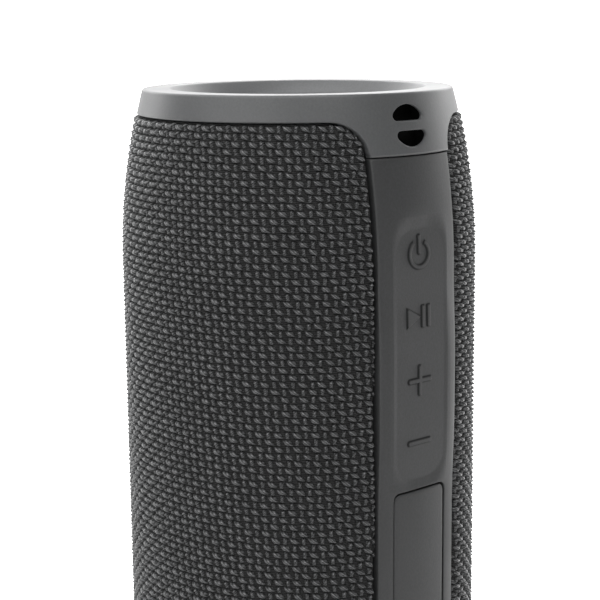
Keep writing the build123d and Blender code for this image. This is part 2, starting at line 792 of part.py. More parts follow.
with BuildPart() as core_body:
    core_top = overall_length - core_end
    revolve(shell_section(core_inset, core_inset + core_wall, core_end, core_top), axis=Axis.Z)
    add(bay_block.part)
    add(baffles.part)
    add(rear_tunnels.part)
    # Posts for the case screws and the main board, and posts under the end caps.
    with BuildSketch(Plane.XZ):
        with Locations(*case_screw_places):
            Circle(case_post_radius)
    extrude(amount=case_post_length)
    with BuildSketch(Plane.XZ.offset(-main_board_front)):
        with Locations(*board_post_places):
            Circle(board_post_radius)
    extrude(amount=baffle_back)
    for post_low in (core_end, core_top - cap_post_length):
        with BuildSketch(Plane.XY.offset(post_low)):
            with PolarLocations(cap_screw_circle, 4, start_angle=45):
                Circle(cap_post_radius)
        extrude(amount=cap_post_length)
    # The pocket behind the panel, with a window where the sockets reach the board.
    with BuildSketch(Plane.YZ.offset(pocket_floor)):
        with Locations((0, pocket_middle)):
            RectangleRounded(2 * pocket_half_width, pocket_high - pocket_low, 1.0)
    extrude(amount=barrel_radius, mode=Mode.SUBTRACT)
    with BuildSketch(Plane.YZ.offset(bay_back - 1)):
        for window_y, window_z, window_across, window_up in (board_window, ribbon_window):
            with Locations((window_y, window_z)):
                Rectangle(window_across, window_up)
    extrude(amount=pocket_floor, mode=Mode.SUBTRACT)
    # Driver seats.
    with BuildSketch(Plane.XZ.offset(baffle_front)):
        with Locations(*driver_places):
            Circle(baffle_recess_radius)
    extrude(amount=barrel_radius, mode=Mode.SUBTRACT)
    with BuildSketch(Plane.XZ.offset(baffle_back - 2)):
        with Locations(*driver_places):
            Circle(baffle_hole_radius)
        for driver_height in driver_heights.values():
            with Locations((0, driver_height)):
                with PolarLocations(driver_screw_circle, 4, start_angle=45):
                    Circle(pilot_hole_radius)
    extrude(amount=barrel_radius, mode=Mode.SUBTRACT)
    # Screw holes.
    with BuildSketch(Plane.XZ.offset(pilot_hole_depth)):
        with Locations(*case_screw_places):
            Circle(case_hole_radius)
    extrude(amount=-case_screw_head_seat - pilot_hole_depth, mode=Mode.SUBTRACT)
    with BuildSketch(Plane.XZ.offset(-case_screw_head_seat)):
        with Locations(*case_screw_places):
            Circle(case_head_hole_radius)
    extrude(amount=-barrel_radius, mode=Mode.SUBTRACT)
    with BuildSketch(Plane.XZ.offset(-main_board_front)):
        with Locations(*board_post_places):
            Circle(pilot_hole_radius)
    extrude(amount=7, mode=Mode.SUBTRACT)
    for hole_low in (core_end, core_top - pilot_hole_depth):
        with BuildSketch(Plane.XY.offset(hole_low)):
            with PolarLocations(cap_screw_circle, 4, start_angle=45):
                Circle(pilot_hole_radius)
        extrude(amount=pilot_hole_depth, mode=Mode.SUBTRACT)

with BuildPart() as core_front_shell:
    add(core_body.part)
    split(bisect_by=Plane.XZ, keep=Keep.TOP)
save(core_front_shell, "core_front_shell")

with BuildPart() as core_rear_shell:
    add(core_body.part)
    split(bisect_by=Plane.XZ, keep=Keep.BOTTOM)
save(core_rear_shell, "core_rear_shell")


# ---- Screws -------------------------------------------------------------------------
def pan_head_screw(head_radius, head_height, shank_radius, shank_length):
    """A screw hanging down its own axis, with the underside of its head at the origin."""
    with BuildPart(mode=Mode.PRIVATE) as screw:
        Cylinder(head_radius, head_height, align=(Align.CENTER, Align.CENTER, Align.MIN))
        fillet(edges().group_by(Axis.Z)[-1], radius=head_height * 0.35)
        Cylinder(shank_radius, shank_length, align=(Align.CENTER, Align.CENTER, Align.MAX))
        with Locations((0, 0, head_height)):
            Box(head_radius * 1.1, head_radius * 0.28, head_height * 0.9, mode=Mode.SUBTRACT)
            Box(head_radius * 0.28, head_radius * 1.1, head_height * 0.9, mode=Mode.SUBTRACT)
    return screw.part


with BuildPart() as case_screws:
    with Locations(*[Plane((x, case_screw_head_seat, z), z_dir=(0, 1, 0)) for x, z in case_screw_places]):
        add(pan_head_screw(*case_screw_size))
save(case_screws, "case_screws")

with BuildPart() as board_screws:
    with Locations(*[Plane((x, main_board_back, z), z_dir=(0, 1, 0)) for x, z in board_post_places]):
        add(pan_head_screw(*board_screw_size))
save(board_screws, "board_screws")

with BuildPart() as driver_screws:
    screw_seat = -(baffle_front + driver_gasket_thickness + driver_flange_thickness)
    for driver_height in driver_heights.values():
        seat_plane = Plane((0, screw_seat, driver_height), z_dir=(0, -1, 0))
        with Locations(seat_plane):
            with PolarLocations(driver_screw_circle, 4, start_angle=45):
                add(pan_head_screw(*driver_screw_size))
save(driver_screws, "driver_screws")

with BuildPart() as cap_screws:
    for seat in (Plane.XY.offset(overall_length - cap_top), Plane((0, 0, cap_top), z_dir=(0, 0, -1))):
        with Locations(seat):
            with PolarLocations(cap_screw_circle, 4, start_angle=45):
                add(pan_head_screw(*cap_screw_size))
save(cap_screws, "cap_screws")

with BuildPart() as radiator_screws:
    frame_top = overall_length - well_depth
    for seat in (Plane.XY.offset(frame_top), Plane((0, 0, well_depth), z_dir=(0, 0, -1))):
        with Locations(seat):
            with PolarLocations(radiator_screw_circle, 6, start_angle=30):
                add(pan_head_screw(*radiator_screw_size))
save(radiator_screws, "radiator_screws")

# ---- End caps and their seals -------------------------------------------------------
with BuildPart() as top_end_cap:
    cap_under = overall_length - core_end
    cap_face = overall_length - cap_top
    revolve(solid_section(core_inset, cap_under, cap_face), axis=Axis.Z)
    with BuildSketch(Plane.XY.offset(cap_under)):
        Circle(cap_hole_radius)
    extrude(amount=10, mode=Mode.SUBTRACT)
    with BuildSketch(Plane.XY.offset(cap_under)):
        Circle(seal_outer_radius)
        Circle(seal_inner_radius, mode=Mode.SUBTRACT)
    extrude(amount=seal_thickness, mode=Mode.SUBTRACT)
    with BuildSketch(Plane.XY.offset(cap_under)):
        with PolarLocations(cap_screw_circle, 4, start_angle=45):
            Circle(pilot_hole_radius)
        with PolarLocations(radiator_screw_circle, 6, start_angle=30):
            Circle(pilot_hole_radius)
    extrude(amount=10, mode=Mode.SUBTRACT)
save(top_end_cap, "top_end_cap")

with BuildPart() as top_cap_seal:
    with BuildSketch(Plane.XY.offset(overall_length - core_end)):
        Circle(seal_outer_radius)
        Circle(seal_inner_radius, mode=Mode.SUBTRACT)
        with PolarLocations(cap_screw_circle, 4, start_angle=45):
            Circle(seal_screw_clearance, mode=Mode.SUBTRACT)
    extrude(amount=seal_thickness)
save(top_cap_seal, "top_cap_seal")

# ---- Passive radiators --------------------------------------------------------------
with BuildPart() as top_radiator_frame:
    with BuildSketch(Plane.XY.offset(overall_length - cap_top)):
        Circle(radiator_frame_outer)
        Circle(radiator_frame_inner, mode=Mode.SUBTRACT)
        with PolarLocations(radiator_screw_circle, 6, start_angle=30):
            Circle(pilot_hole_radius, mode=Mode.SUBTRACT)
    extrude(amount=cap_top - well_depth)
save(top_radiator_frame, "top_radiator_frame")

with BuildPart() as top_radiator_surround:
    # A half-roll of rubber with a narrow lip on each side.
    roll_middle = (radiator_plate_radius + radiator_frame_inner) / 2
    lip_top = overall_length - roll_level
    lip_bottom = lip_top - roll_thickness
    inner_roll = roll_radius - roll_thickness
    with BuildSketch(Plane.XZ):
        with BuildLine():
            Line((radiator_plate_radius, lip_top), (roll_middle - roll_radius, lip_top))
            ThreePointArc(
                (roll_middle - roll_radius, lip_top),
                (roll_middle, lip_top + roll_radius),
                (roll_middle + roll_radius, lip_top),
            )
            Polyline(
                (roll_middle + roll_radius, lip_top),
                (radiator_frame_inner, lip_top),
                (radiator_frame_inner, lip_bottom),
                (roll_middle + inner_roll, lip_bottom),
                (roll_middle + inner_roll, lip_top),
            )
            ThreePointArc(
                (roll_middle + inner_roll, lip_top),
                (roll_middle, lip_top + inner_roll),
                (roll_middle - inner_roll, lip_top),
            )
            Polyline(
                (roll_middle - inner_roll, lip_top),
                (roll_middle - inner_roll, lip_bottom),
                (radiator_plate_radius, lip_bottom),
                (radiator_plate_radius, lip_top),
            )
        make_face()
    revolve(axis=Axis.Z)
save(top_radiator_surround, "top_radiator_surround")

with BuildPart() as top_radiator_plate:
    plate_bottom = overall_length - radiator_plate_top - radiator_plate_thickness
    with BuildSketch(Plane.XY.offset(plate_bottom)):
        Circle(radiator_plate_radius)
    extrude(amount=radiator_plate_thickness)
    chamfer(edges().group_by(Axis.Z)[-1], length=radiator_plate_chamfer)
    with BuildSketch(Plane.XY.offset(plate_bottom - radiator_boss_length)):
        Circle(radiator_boss_radius)
    extrude(amount=radiator_boss_length)
save(top_radiator_plate, "top_radiator_plate")

mirrored_ends = {
    "bottom_end_cap": top_end_cap.part,
    "bottom_cap_seal": top_cap_seal.part,
    "bottom_radiator_frame": top_radiator_frame.part,
    "bottom_radiator_surround": top_radiator_surround.part,
    "bottom_radiator_plate": top_radiator_plate.part,
}
for end_name, end_part in mirrored_ends.items():
    with BuildPart() as bottom_piece:
        mirror(end_part, about=mid_plane)
    save(bottom_piece, end_name)


# ---- Drivers ------------------------------------------------------------------------
def turned(points, height):
    """Closed half section of a driver piece, as radius and distance in front of the axis."""
    with BuildSketch(Plane.XY.offset(height)) as section:
        with BuildLine():
            Polyline(*[(radius, -reach) for radius, reach in points], close=True)
        make_face()
    return section.sketch


flange_back = baffle_front + driver_gasket_thickness
flange_front = flange_back + driver_flange_thickness
for driver_name, driver_height in driver_heights.items():
    driver_axis = Axis((0, 0, driver_height), (0, 1, 0))
    seat_plane = Plane((0, 0, driver_height), x_dir=(1, 0, 0), z_dir=(0, -1, 0))

    with BuildPart() as basket:
        basket_points = [
            (basket_mouth_radius - 0.2, flange_front),
            (driver_flange_radius, flange_front),
            (driver_flange_radius, flange_back),
            (basket_mouth_radius, flange_back),
            (basket_rear_radius, basket_rear),
            (basket_rear_radius, basket_rear - basket_wall),
            (basket_shelf_radius, basket_rear - basket_wall),
            (basket_shelf_radius, basket_rear),
            (basket_rear_radius - basket_wall, basket_rear),
            (basket_mouth_radius - basket_wall, flange_back),
        ]
        revolve(turned(basket_points, driver_height), axis=driver_axis)
        # Six windows in the cone of the basket and four screw holes in its flange.
        with BuildSketch(seat_plane.offset(basket_rear + basket_wall)):
            with PolarLocations(basket_window_circle, 6, start_angle=0):
                Rectangle(basket_window_width, basket_window_height)
        extrude(amount=flange_back - basket_rear - 2 * basket_wall - 0.2, mode=Mode.SUBTRACT)
        with BuildSketch(seat_plane.offset(flange_back - 1)):
            with PolarLocations(driver_screw_circle, 4, start_angle=45):
                Circle(pilot_hole_radius)
        extrude(amount=10, mode=Mode.SUBTRACT)
    save(basket, f"{driver_name}_driver_basket")

    with BuildPart() as magnet:
        magnet_front = basket_rear - basket_wall
        magnet_points = [
            (0, magnet_front),
            (magnet_gap_inner, magnet_front),
            (magnet_gap_inner, magnet_front - magnet_gap_depth),
            (magnet_gap_outer, magnet_front - magnet_gap_depth),
            (magnet_gap_outer, magnet_front),
            (magnet_radius, magnet_front),
            (magnet_radius, magnet_rear),
            (0, magnet_rear),
        ]
        revolve(turned(magnet_points, driver_height), axis=driver_axis)
    save(magnet, f"{driver_name}_driver_magnet")

    with BuildPart() as cone:
        # Paper cone, voice coil tube and dust cap, which move as one.
        cap_root = cone_throat + cone_wall
        cap_radius = (coil_radius**2 + cap_rise**2) / (2 * cap_rise)
        cap_inner_radius = cap_radius - cone_wall
        coil_end = magnet_front - coil_depth
        coil_inside = coil_radius - coil_wall
        cap_angle = degrees(asin(coil_radius / cap_radius))
        cap_inner_angle = degrees(asin(coil_inside / cap_inner_radius))
        apex = -cap_root - cap_rise
        with BuildSketch(Plane.XY.offset(driver_height)):
            with BuildLine():
                cap_outside = JernArc((0, apex), (1, 0), cap_radius, cap_angle)
                cap_inside = JernArc((0, apex + cone_wall), (1, 0), cap_inner_radius, cap_inner_angle)
                Polyline(
                    cap_outside @ 1,
                    (cone_outer_radius, -cone_front),
                    (cone_outer_radius, -cone_front + cone_wall),
                    (coil_radius, -cap_root + 2 * cone_wall),
                    (coil_radius, -coil_end),
                    (coil_inside, -coil_end),
                    cap_inside @ 1,
                )
                Line(cap_inside @ 0, cap_outside @ 0)
            make_face()
        revolve(axis=driver_axis)
    save(cone, f"{driver_name}_driver_cone")

    with BuildPart() as surround:
        # Rubber roll from the edge of the cone to the basket.
        roll_half = (basket_mouth_radius - basket_wall - cone_outer_radius) / 2
        surround_middle = cone_outer_radius + roll_half
        surround_edge = surround_middle + roll_half
        base = -(cone_front + 0.1)
        with BuildSketch(Plane.XY.offset(driver_height)):
            with BuildLine():
                ThreePointArc(
                    (cone_outer_radius, base),
                    (surround_middle, base - roll_half),
                    (surround_edge, base),
                )
                Polyline(
                    (surround_edge, base),
                    (surround_edge, base + surround_lip),
                    (surround_edge - surround_wall, base),
                )
                ThreePointArc(
                    (surround_edge - surround_wall, base),
                    (surround_middle, base - roll_half + surround_wall),
                    (cone_outer_radius + surround_wall, base),
                )
                Line((cone_outer_radius + surround_wall, base), (cone_outer_radius, base))
            make_face()
        revolve(axis=driver_axis)
    save(surround, f"{driver_name}_driver_surround")

    with BuildPart() as spider:
        # Corrugated cloth disc that centres the coil over the basket's rear shelf.
        spider_outer = basket_rear_radius - basket_wall - 0.1
        spider_points = [(coil_radius, 0.0), (coil_radius, spider_thickness)]
        fold = (spider_outer - coil_radius - 2 * spider_thickness) / spider_fold_count
        for fold_place in range(spider_fold_count + 1):
            rise = spider_thickness if fold_place % 2 == 0 else spider_fold_rise
            spider_points.append((coil_radius + spider_thickness + fold * fold_place, rise))
        spider_points += [(spider_outer, spider_thickness), (spider_outer, 0.0)]
        spider_plane = [(radius, basket_rear + rise) for radius, rise in spider_points]
        revolve(turned(spider_plane, driver_height), axis=driver_axis)
    save(spider, f"{driver_name}_driver_spider")

with BuildPart() as driver_gaskets:
    with BuildSketch(Plane.XZ.offset(baffle_front)):
        for driver_height in driver_heights.values():
            with Locations((0, driver_height)):
                Circle(driver_flange_radius)
                Circle(baffle_hole_radius, mode=Mode.SUBTRACT)
                with PolarLocations(driver_screw_circle, 4, start_angle=45):
                    Circle(pilot_hole_radius, mode=Mode.SUBTRACT)
    extrude(amount=driver_gasket_thickness)
save(driver_gaskets, "driver_gaskets")

# ---- Main board and battery ---------------------------------------------------------
board_middle = ((main_board_left + main_board_right) / 2, (main_board_low + main_board_high) / 2)
with BuildPart() as main_board:
    with BuildSketch(Plane.XZ.offset(-main_board_back)):
        with Locations(board_middle):
            board_width = main_board_right - main_board_left
            RectangleRounded(board_width, main_board_high - main_board_low, board_corner)
        with Locations(*board_post_places):
            Circle(pilot_hole_radius, mode=Mode.SUBTRACT)
    extrude(amount=main_board_back - main_board_front)
save(main_board, "main_board")

with BuildPart() as board_components:
    # The radio module, then the amplifiers, capacitors and chargers.
    module_width, module_length, module_height = radio_module
    with BuildSketch(Plane.XZ.offset(-main_board_back)):
        with Locations(radio_place):
            RectangleRounded(module_width, module_length, 0.6)
    extrude(amount=-module_height)
    with BuildSketch(Plane.XZ.offset(-main_board_back)):
        with Locations(*amplifier_places):
            Rectangle(amplifier_size, amplifier_size)
        with Locations(*capacitor_places):
            Circle(capacitor_radius)
        with Locations(*charger_places):
            Rectangle(charger_size, charger_size)
    extrude(amount=-chip_height)
save(board_components, "board_components")

with BuildPart() as keypad_ribbon:
    # Flat flex cable from the button board, through the pocket floor, to the main board.
    ribbon_turn = main_board_high + 4.0
    ribbon_root = switch_base - board_thickness
    with BuildSketch(Plane.XZ.offset(-main_board_back - 0.4)):
        with BuildLine():
            ribbon_path = FilletPolyline(
                (ribbon_root - 0.2, ribbon_turn + 3.0),
                (ribbon_root - 0.7, ribbon_turn),
                (ribbon_foot[0], ribbon_turn),
                (ribbon_foot[1], main_board_high - 4.0),
                radius=ribbon_bend,
            )
            offset(ribbon_path, amount=ribbon_thickness / 2, side=Side.BOTH)
        make_face()
    extrude(amount=-ribbon_width)
save(keypad_ribbon, "keypad_ribbon")

for cell_name, side in (("battery_cell_a", -1), ("battery_cell_b", 1)):
    with BuildPart() as cell:
        with BuildSketch(Plane.XY.offset(middle_height - cell_length / 2)):
            with Locations((side * cell_x, cell_y)):
                Circle(cell_radius)
        extrude(amount=cell_length)
        fillet(edges().filter_by(GeomType.CIRCLE), radius=cell_edge_radius)
    save(cell, cell_name)

with BuildPart() as battery_holder:
    holder_half = cell_length / 2 + holder_end_wall
    with BuildSketch(Plane.XY.offset(middle_height - holder_half)):
        with Locations((0, cell_y)):
            RectangleRounded(holder_width, holder_depth, holder_corner)
    extrude(amount=2 * holder_half)
    # Open at the front, with a round seat for each cell.
    with BuildSketch(Plane.XY.offset(middle_height - cell_length / 2 - 2 * cell_clearance)):
        with Locations((-cell_x, cell_y), (cell_x, cell_y)):
            Circle(cell_radius + cell_clearance)
        with Locations((0, cell_y - holder_open_depth / 2)):
            Rectangle(2 * holder_width, holder_open_depth)
    extrude(amount=cell_length + 4 * cell_clearance, mode=Mode.SUBTRACT)
save(battery_holder, "battery_holder")

with BuildPart() as protection_board:
    protection_width, protection_depth, protection_thickness = protection_board_size
    with BuildSketch(Plane.XY.offset(middle_height + holder_half)):
        with Locations((0, cell_y)):
            RectangleRounded(protection_width, protection_depth, 1.0)
    extrude(amount=protection_thickness)
save(protection_board, "protection_board")


# ---- Wires --------------------------------------------------------------------------
def bend_radii(points):
    """The largest arc at each corner of a route that leaves both of its runs their middles."""
    corners = [Vector(*point) for point in points]
    radii = []
    for before, corner, after in zip(corners, corners[1:], corners[2:]):
        turn = (corner - before).get_angle(after - corner)
        shorter_run = min((corner - before).length, (after - corner).length)
        radii.append(0.45 * shorter_run / tan(radians(turn / 2)))
    return radii


def wire(points, thickness):
    """A round wire along straight runs joined by tangent arcs."""
    radii = bend_radii(points)
    with BuildPart(mode=Mode.PRIVATE) as strand:
        with BuildLine() as route:
            FilletPolyline(*points, radius=radii)
        with BuildSketch(Plane(route.wire() @ 0, z_dir=route.wire() % 0)):
            Circle(thickness / 2)
        sweep(path=route.wire())
    print("wire bends", [round(radius, 1) for radius in radii], "length", round(route.wire().length, 1))
    return strand.part


battery_route = [(11, 12.5, 131), (11, 12.5, 138), (4, 6, 142), (-2, 2, 136), (-2, 2, 124), (-4, -0.6, 113)]
with BuildPart() as battery_lead:
    add(wire(battery_route, battery_wire))
save(battery_lead, "battery_lead")

upper_route = [(-12, -4.0, 112), (-14, -6, 120), (-17, -10, 127), (-13.8, -15.5, 132)]
lower_route = [(-12.4, -4.0, 62), (-15.5, -5, 54), (-17.5, -9, 48), (-14.4, -15.5, 47)]
with BuildPart() as speaker_leads:
    add(wire(upper_route, speaker_wire))
    add(wire(lower_route, speaker_wire))
save(speaker_leads, "speaker_leads")
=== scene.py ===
import json
from math import asin, atan2, cos, pi, radians, sin, sqrt

import bmesh
import bpy
import numpy as np
from mathutils import Matrix, Vector


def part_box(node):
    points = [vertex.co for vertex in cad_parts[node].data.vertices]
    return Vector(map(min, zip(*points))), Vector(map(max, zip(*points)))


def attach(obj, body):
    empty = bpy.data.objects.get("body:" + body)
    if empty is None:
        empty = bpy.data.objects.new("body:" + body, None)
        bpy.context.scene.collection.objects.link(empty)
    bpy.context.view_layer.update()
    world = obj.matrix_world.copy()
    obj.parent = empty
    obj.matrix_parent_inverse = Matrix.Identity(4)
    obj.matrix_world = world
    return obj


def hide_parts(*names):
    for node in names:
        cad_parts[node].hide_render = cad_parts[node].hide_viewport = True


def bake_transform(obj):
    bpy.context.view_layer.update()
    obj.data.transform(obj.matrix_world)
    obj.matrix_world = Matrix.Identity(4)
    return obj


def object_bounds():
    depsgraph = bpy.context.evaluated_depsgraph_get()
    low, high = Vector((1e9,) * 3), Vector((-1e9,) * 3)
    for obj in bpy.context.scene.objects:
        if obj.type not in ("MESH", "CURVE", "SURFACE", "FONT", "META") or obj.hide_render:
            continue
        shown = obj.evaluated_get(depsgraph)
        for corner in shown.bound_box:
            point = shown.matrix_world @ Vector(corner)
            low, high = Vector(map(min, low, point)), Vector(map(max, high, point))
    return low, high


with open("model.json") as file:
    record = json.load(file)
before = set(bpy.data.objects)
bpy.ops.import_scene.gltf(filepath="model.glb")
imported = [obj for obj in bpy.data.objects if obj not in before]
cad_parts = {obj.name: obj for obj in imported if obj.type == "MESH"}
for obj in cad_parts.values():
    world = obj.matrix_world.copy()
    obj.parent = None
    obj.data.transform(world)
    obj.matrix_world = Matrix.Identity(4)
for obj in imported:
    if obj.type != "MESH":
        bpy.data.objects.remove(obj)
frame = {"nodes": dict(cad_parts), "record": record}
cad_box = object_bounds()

# A cylindrical portable speaker. Shapes are worked out in millimetres and written to the
# meshes in metres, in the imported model's frame: +Z up, panel towards +X, drivers towards -Y.
MM = 0.001

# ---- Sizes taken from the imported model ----
length = cad_box[1][2] / MM
barrel = -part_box("fabric_sleeve")[0][0] / MM
panel_low, panel_high = (corner[2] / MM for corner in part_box("control_panel"))
panel_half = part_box("control_panel")[1][1] / MM
fabric_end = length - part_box("fabric_sleeve")[1][2] / MM
cover_low, cover_high = (corner[2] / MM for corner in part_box("port_cover"))
cover_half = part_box("port_cover")[1][1] / MM
cover_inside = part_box("port_cover")[0][0] / MM
plate_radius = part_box("top_radiator_plate")[1][0] / MM
plate_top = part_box("top_radiator_plate")[1][2] / MM
plate_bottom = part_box("top_radiator_plate")[0][2] / MM
roll_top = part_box("top_radiator_surround")[1][2] / MM
roll_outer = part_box("top_radiator_surround")[1][0] / MM
key_heights = {
    key: (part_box(f"{key}_button")[0][2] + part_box(f"{key}_button")[1][2]) / 2 / MM
    for key in ("power", "play_pause", "volume_up", "volume_down")
}
keypad_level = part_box("keypad_mat")[1][0] / MM

# ---- Sizes of the outlines ----
# the barrel's crowned ends, and how far the skins lie inside that outline
taper = 36.0
end_radius = 32.2
crown = (taper**2 + (barrel - end_radius) ** 2) / (2 * (barrel - end_radius))
ring_inset = 0.06
panel_inset = 0.25
# the end rings, with the well in them and the tab that reaches down to the panel
ring_edge = 0.6
ring_wall = 1.8
ring_skirt = 5.2
skirt_lip = 0.2
well_radius = 26.4
well_depth = 8.0
lip_radius = 24.0
lip_slope = 2.5
lip_end = 4.4
tab_depth = 12.0
tab_flare = tab_depth - ring_skirt
# the two D-shaped strap holes, one each side of a bar
strap_radius = 4.05
strap_depth = 6.35
strap_bar = 1.9
strap_corner = 0.95
strap_stretch = 1.12
strap_lip = 0.3
strap_edge = 0.6
strap_pocket_depth = 4.0
upper_strap_shift = -0.75
lower_strap_shift = -0.3
# the keys' recess, on a swell of the panel, and their raised symbols
recess_half = 7.35
recess_low = length - 78.3
recess_high = length - 24.5
recess_corner = 6.0
recess_depth = 0.55
recess_blend = 2.4
recess_end_blend = 2.2
recess_end = 6.0
recess_side = 0.3
recess_step = 0.04
recess_rise = 0.6
hump_share = 0.65
hump_height = hump_share * (keypad_level + recess_depth + panel_inset - barrel)
hump_low = length - 85.0
hump_high = length - 35.0
hump_low_run = 22.0
hump_high_run = 18.0
icon_relief = 0.32
icon_edge = 0.3
icon_shift = -0.35
stroke_half = 0.47
# a band round each symbol's wall that is painted darker, as shade in the creases
shade_line_offset = 0.04
shade_line_width = 0.15
# the panel's edges, the port cover and its window
panel_edge = 0.4
panel_rounding = 0.3
panel_end = 2.4
cover_right = cover_half - 0.3
cover_corner = 1.6
cover_rounding = 0.4
window_left = -cover_half - 0.16
window_right = cover_right + 0.42
window_gap = 0.35
window_lip = 0.22
window_margin = 1.55
window_corner = 1.9
hinge_corner = 1.3
# the cloth, which is open along the panel's slot
slot_half = 11.4
slot_corner_gap = 0.85
slot_corner_flare = 0.75
slot_roll = 1.0
end_roll = 0.55
cloth_base = 0.36

rng = np.random.default_rng(11)


# ---- Mesh building ----
def grid_faces(rows, columns, wrap=False):
    """Corner numbers of the quads of a grid of points stored row after row."""
    index = np.arange(rows * columns).reshape(rows, columns)
    if wrap:
        index = np.concatenate([index, index[:, :1]], axis=1)
    corners = [index[:-1, :-1], index[:-1, 1:], index[1:, 1:], index[1:, :-1]]
    return np.stack(corners, axis=-1).reshape(-1, 4)


def new_object(name, points, quads, material, triangles=None, uv=None):
    """A smooth-shaded mesh object from points in millimetres."""
    triangles = np.zeros((0, 3), int) if triangles is None else np.asarray(triangles)
    quads = np.asarray(quads).reshape(-1, 4)
    used, flat = np.unique(np.concatenate([quads.ravel(), triangles.ravel()]), return_inverse=True)
    points = np.asarray(points, float).reshape(-1, 3)[used]
    corners = flat.ravel()
    sizes = np.concatenate([np.full(len(quads), 4), np.full(len(triangles), 3)])
    starts = np.concatenate([[0], np.cumsum(sizes)[:-1]])
    mesh = bpy.data.meshes.new(name)
    mesh.vertices.add(len(points))
    mesh.vertices.foreach_set("co", (points * MM).ravel())
    mesh.loops.add(len(corners))
    mesh.loops.foreach_set("vertex_index", corners.astype(np.int32))
    mesh.polygons.add(len(sizes))
    mesh.polygons.foreach_set("loop_start", starts.astype(np.int32))
    mesh.update(calc_edges=True)
    if uv is not None:
        layer = mesh.uv_layers.new(name="fibres")
        layer.data.foreach_set("uv", np.asarray(uv, float).reshape(-1, 2)[used][corners].ravel())
    mesh.validate()
    mesh.shade_smooth()
    mesh.materials.append(material)
    made = bpy.data.objects.new(name, mesh)
    bpy.context.scene.collection.objects.link(made)
    return made


def joined(parts):
    """Several (points, quads) as one, in the order given."""
    points, quads, count = [], [], 0
    for part_points, part_quads in parts:
        part_points = np.asarray(part_points, float).reshape(-1, 3)
        points.append(part_points)
        quads.append(np.asarray(part_quads).reshape(-1, 4) + count)
        count += len(part_points)
    return np.concatenate(points), np.concatenate(quads)


def welded(points, quads):
    """Merges points that share a place and drops what collapses, giving quads and triangles."""
    keys = np.round(points / 1e-4).astype(np.int64)
    _, first, inverse = np.unique(keys, axis=0, return_index=True, return_inverse=True)
    quads = inverse.ravel()[quads]
    repeats = (quads == np.roll(quads, -1, axis=1)).sum(axis=1)
    triangles = []
    for quad in quads[repeats == 1]:
        triangles.append([corner for place, corner in enumerate(quad) if corner != quad[place - 1]])
    return points[first], quads[repeats == 0], np.array(triangles, int).reshape(-1, 3)


def turned_out(points, quads, centre):
    """The quads, all turned over if most of them face the centre."""
    a, b, c = (points[quads[:, corner]] for corner in (0, 1, 2))
    facing = (np.cross(b - a, c - a) * (a - centre)).sum()
    return quads if facing > 0 else quads[:, ::-1]


# ---- Outlines ----
def wall(z, inset=0.0):
    """Barrel radius at height z, with its outline moved inwards by inset."""
    z = np.asarray(z, float)
    rise = np.maximum(np.maximum(taper - z, z - (length - taper)), 0.0)
    return barrel - crown + np.sqrt((crown - inset) ** 2 - rise**2)


def smooth(value):
    """0 below 0, 1 above 1, and a smooth step between."""
    value = np.clip(value, 0, 1)
    return value * value * (3 - 2 * value)


def box_distance(y, z, half_y, half_z, corner):
    """Signed distance to a rounded rectangle centred on the origin, negative inside."""
    away_y = np.abs(y) - half_y + corner
    away_z = np.abs(z) - half_z + corner
    outside = np.hypot(np.maximum(away_y, 0), np.maximum(away_z, 0))
    return outside + np.minimum(np.maximum(away_y, away_z), 0) - corner


def segment_distance(y, z, start, end, half_width):
    """Signed distance to a stroke with round ends."""
    away_y, away_z = y - start[0], z - start[1]
    run = np.array(end) - np.array(start)
    along = np.clip((away_y * run[0] + away_z * run[1]) / (run**2).sum(), 0, 1)
    return np.hypot(away_y - along * run[0], away_z - along * run[1]) - half_width


def power_symbol(y, z):
    """A ring open at the top with a bar in the gap."""
    radius, drop = 2.6, 0.15
    ring = np.abs(np.hypot(y, z + drop) - radius) - 0.40
    opening = np.abs(np.arctan2(y, z + drop)) - radians(34)
    ring = np.where(opening < 0, np.maximum(ring, -opening * radius), ring)
    return np.minimum(ring, segment_distance(y, z, (0, 3.2), (0, 0.2), 0.46))


def play_pause_symbol(y, z):
    """A triangle with rounded corners pointing right, then two bars."""
    left, half_height, width, rounding = -3.5, 2.05, 3.8, 0.14
    slope = np.array([half_height, width]) / np.hypot(half_height, width)
    sides = [(left - y) / rounding]
    sides += [((way * z - half_height) * slope[1] + (y - left) * slope[0]) / rounding for way in (1, -1)]
    triangle = rounding * np.logaddexp(np.logaddexp(sides[0], sides[1]), sides[2])
    bars = [box_distance(y - middle, z, 0.48, 2.2, 0.25) for middle in (0.95, 2.5)]
    return np.minimum(triangle, np.minimum(*bars))


def level_symbol(y, z, upright):
    """A level bar, crossed by an upright one for louder."""
    level = segment_distance(y, z, (-2.8, -0.2), (2.8, -0.2), stroke_half)
    if not upright:
        return level
    return np.minimum(level, segment_distance(y, z, (0, -2.85), (0, 2.45), stroke_half))


def symbols(y, z):
    """Signed distance to the four raised symbols."""
    found = np.full(np.broadcast(y, z).shape, 9.0)
    shapes = {
        "power": power_symbol,
        "play_pause": play_pause_symbol,
        "volume_up": lambda y, z: level_symbol(y, z, True),
        "volume_down": lambda y, z: level_symbol(y, z, False),
    }
    for key, shape in shapes.items():
        found = np.minimum(found, shape(y - icon_shift, z - key_heights[key]))
    return found


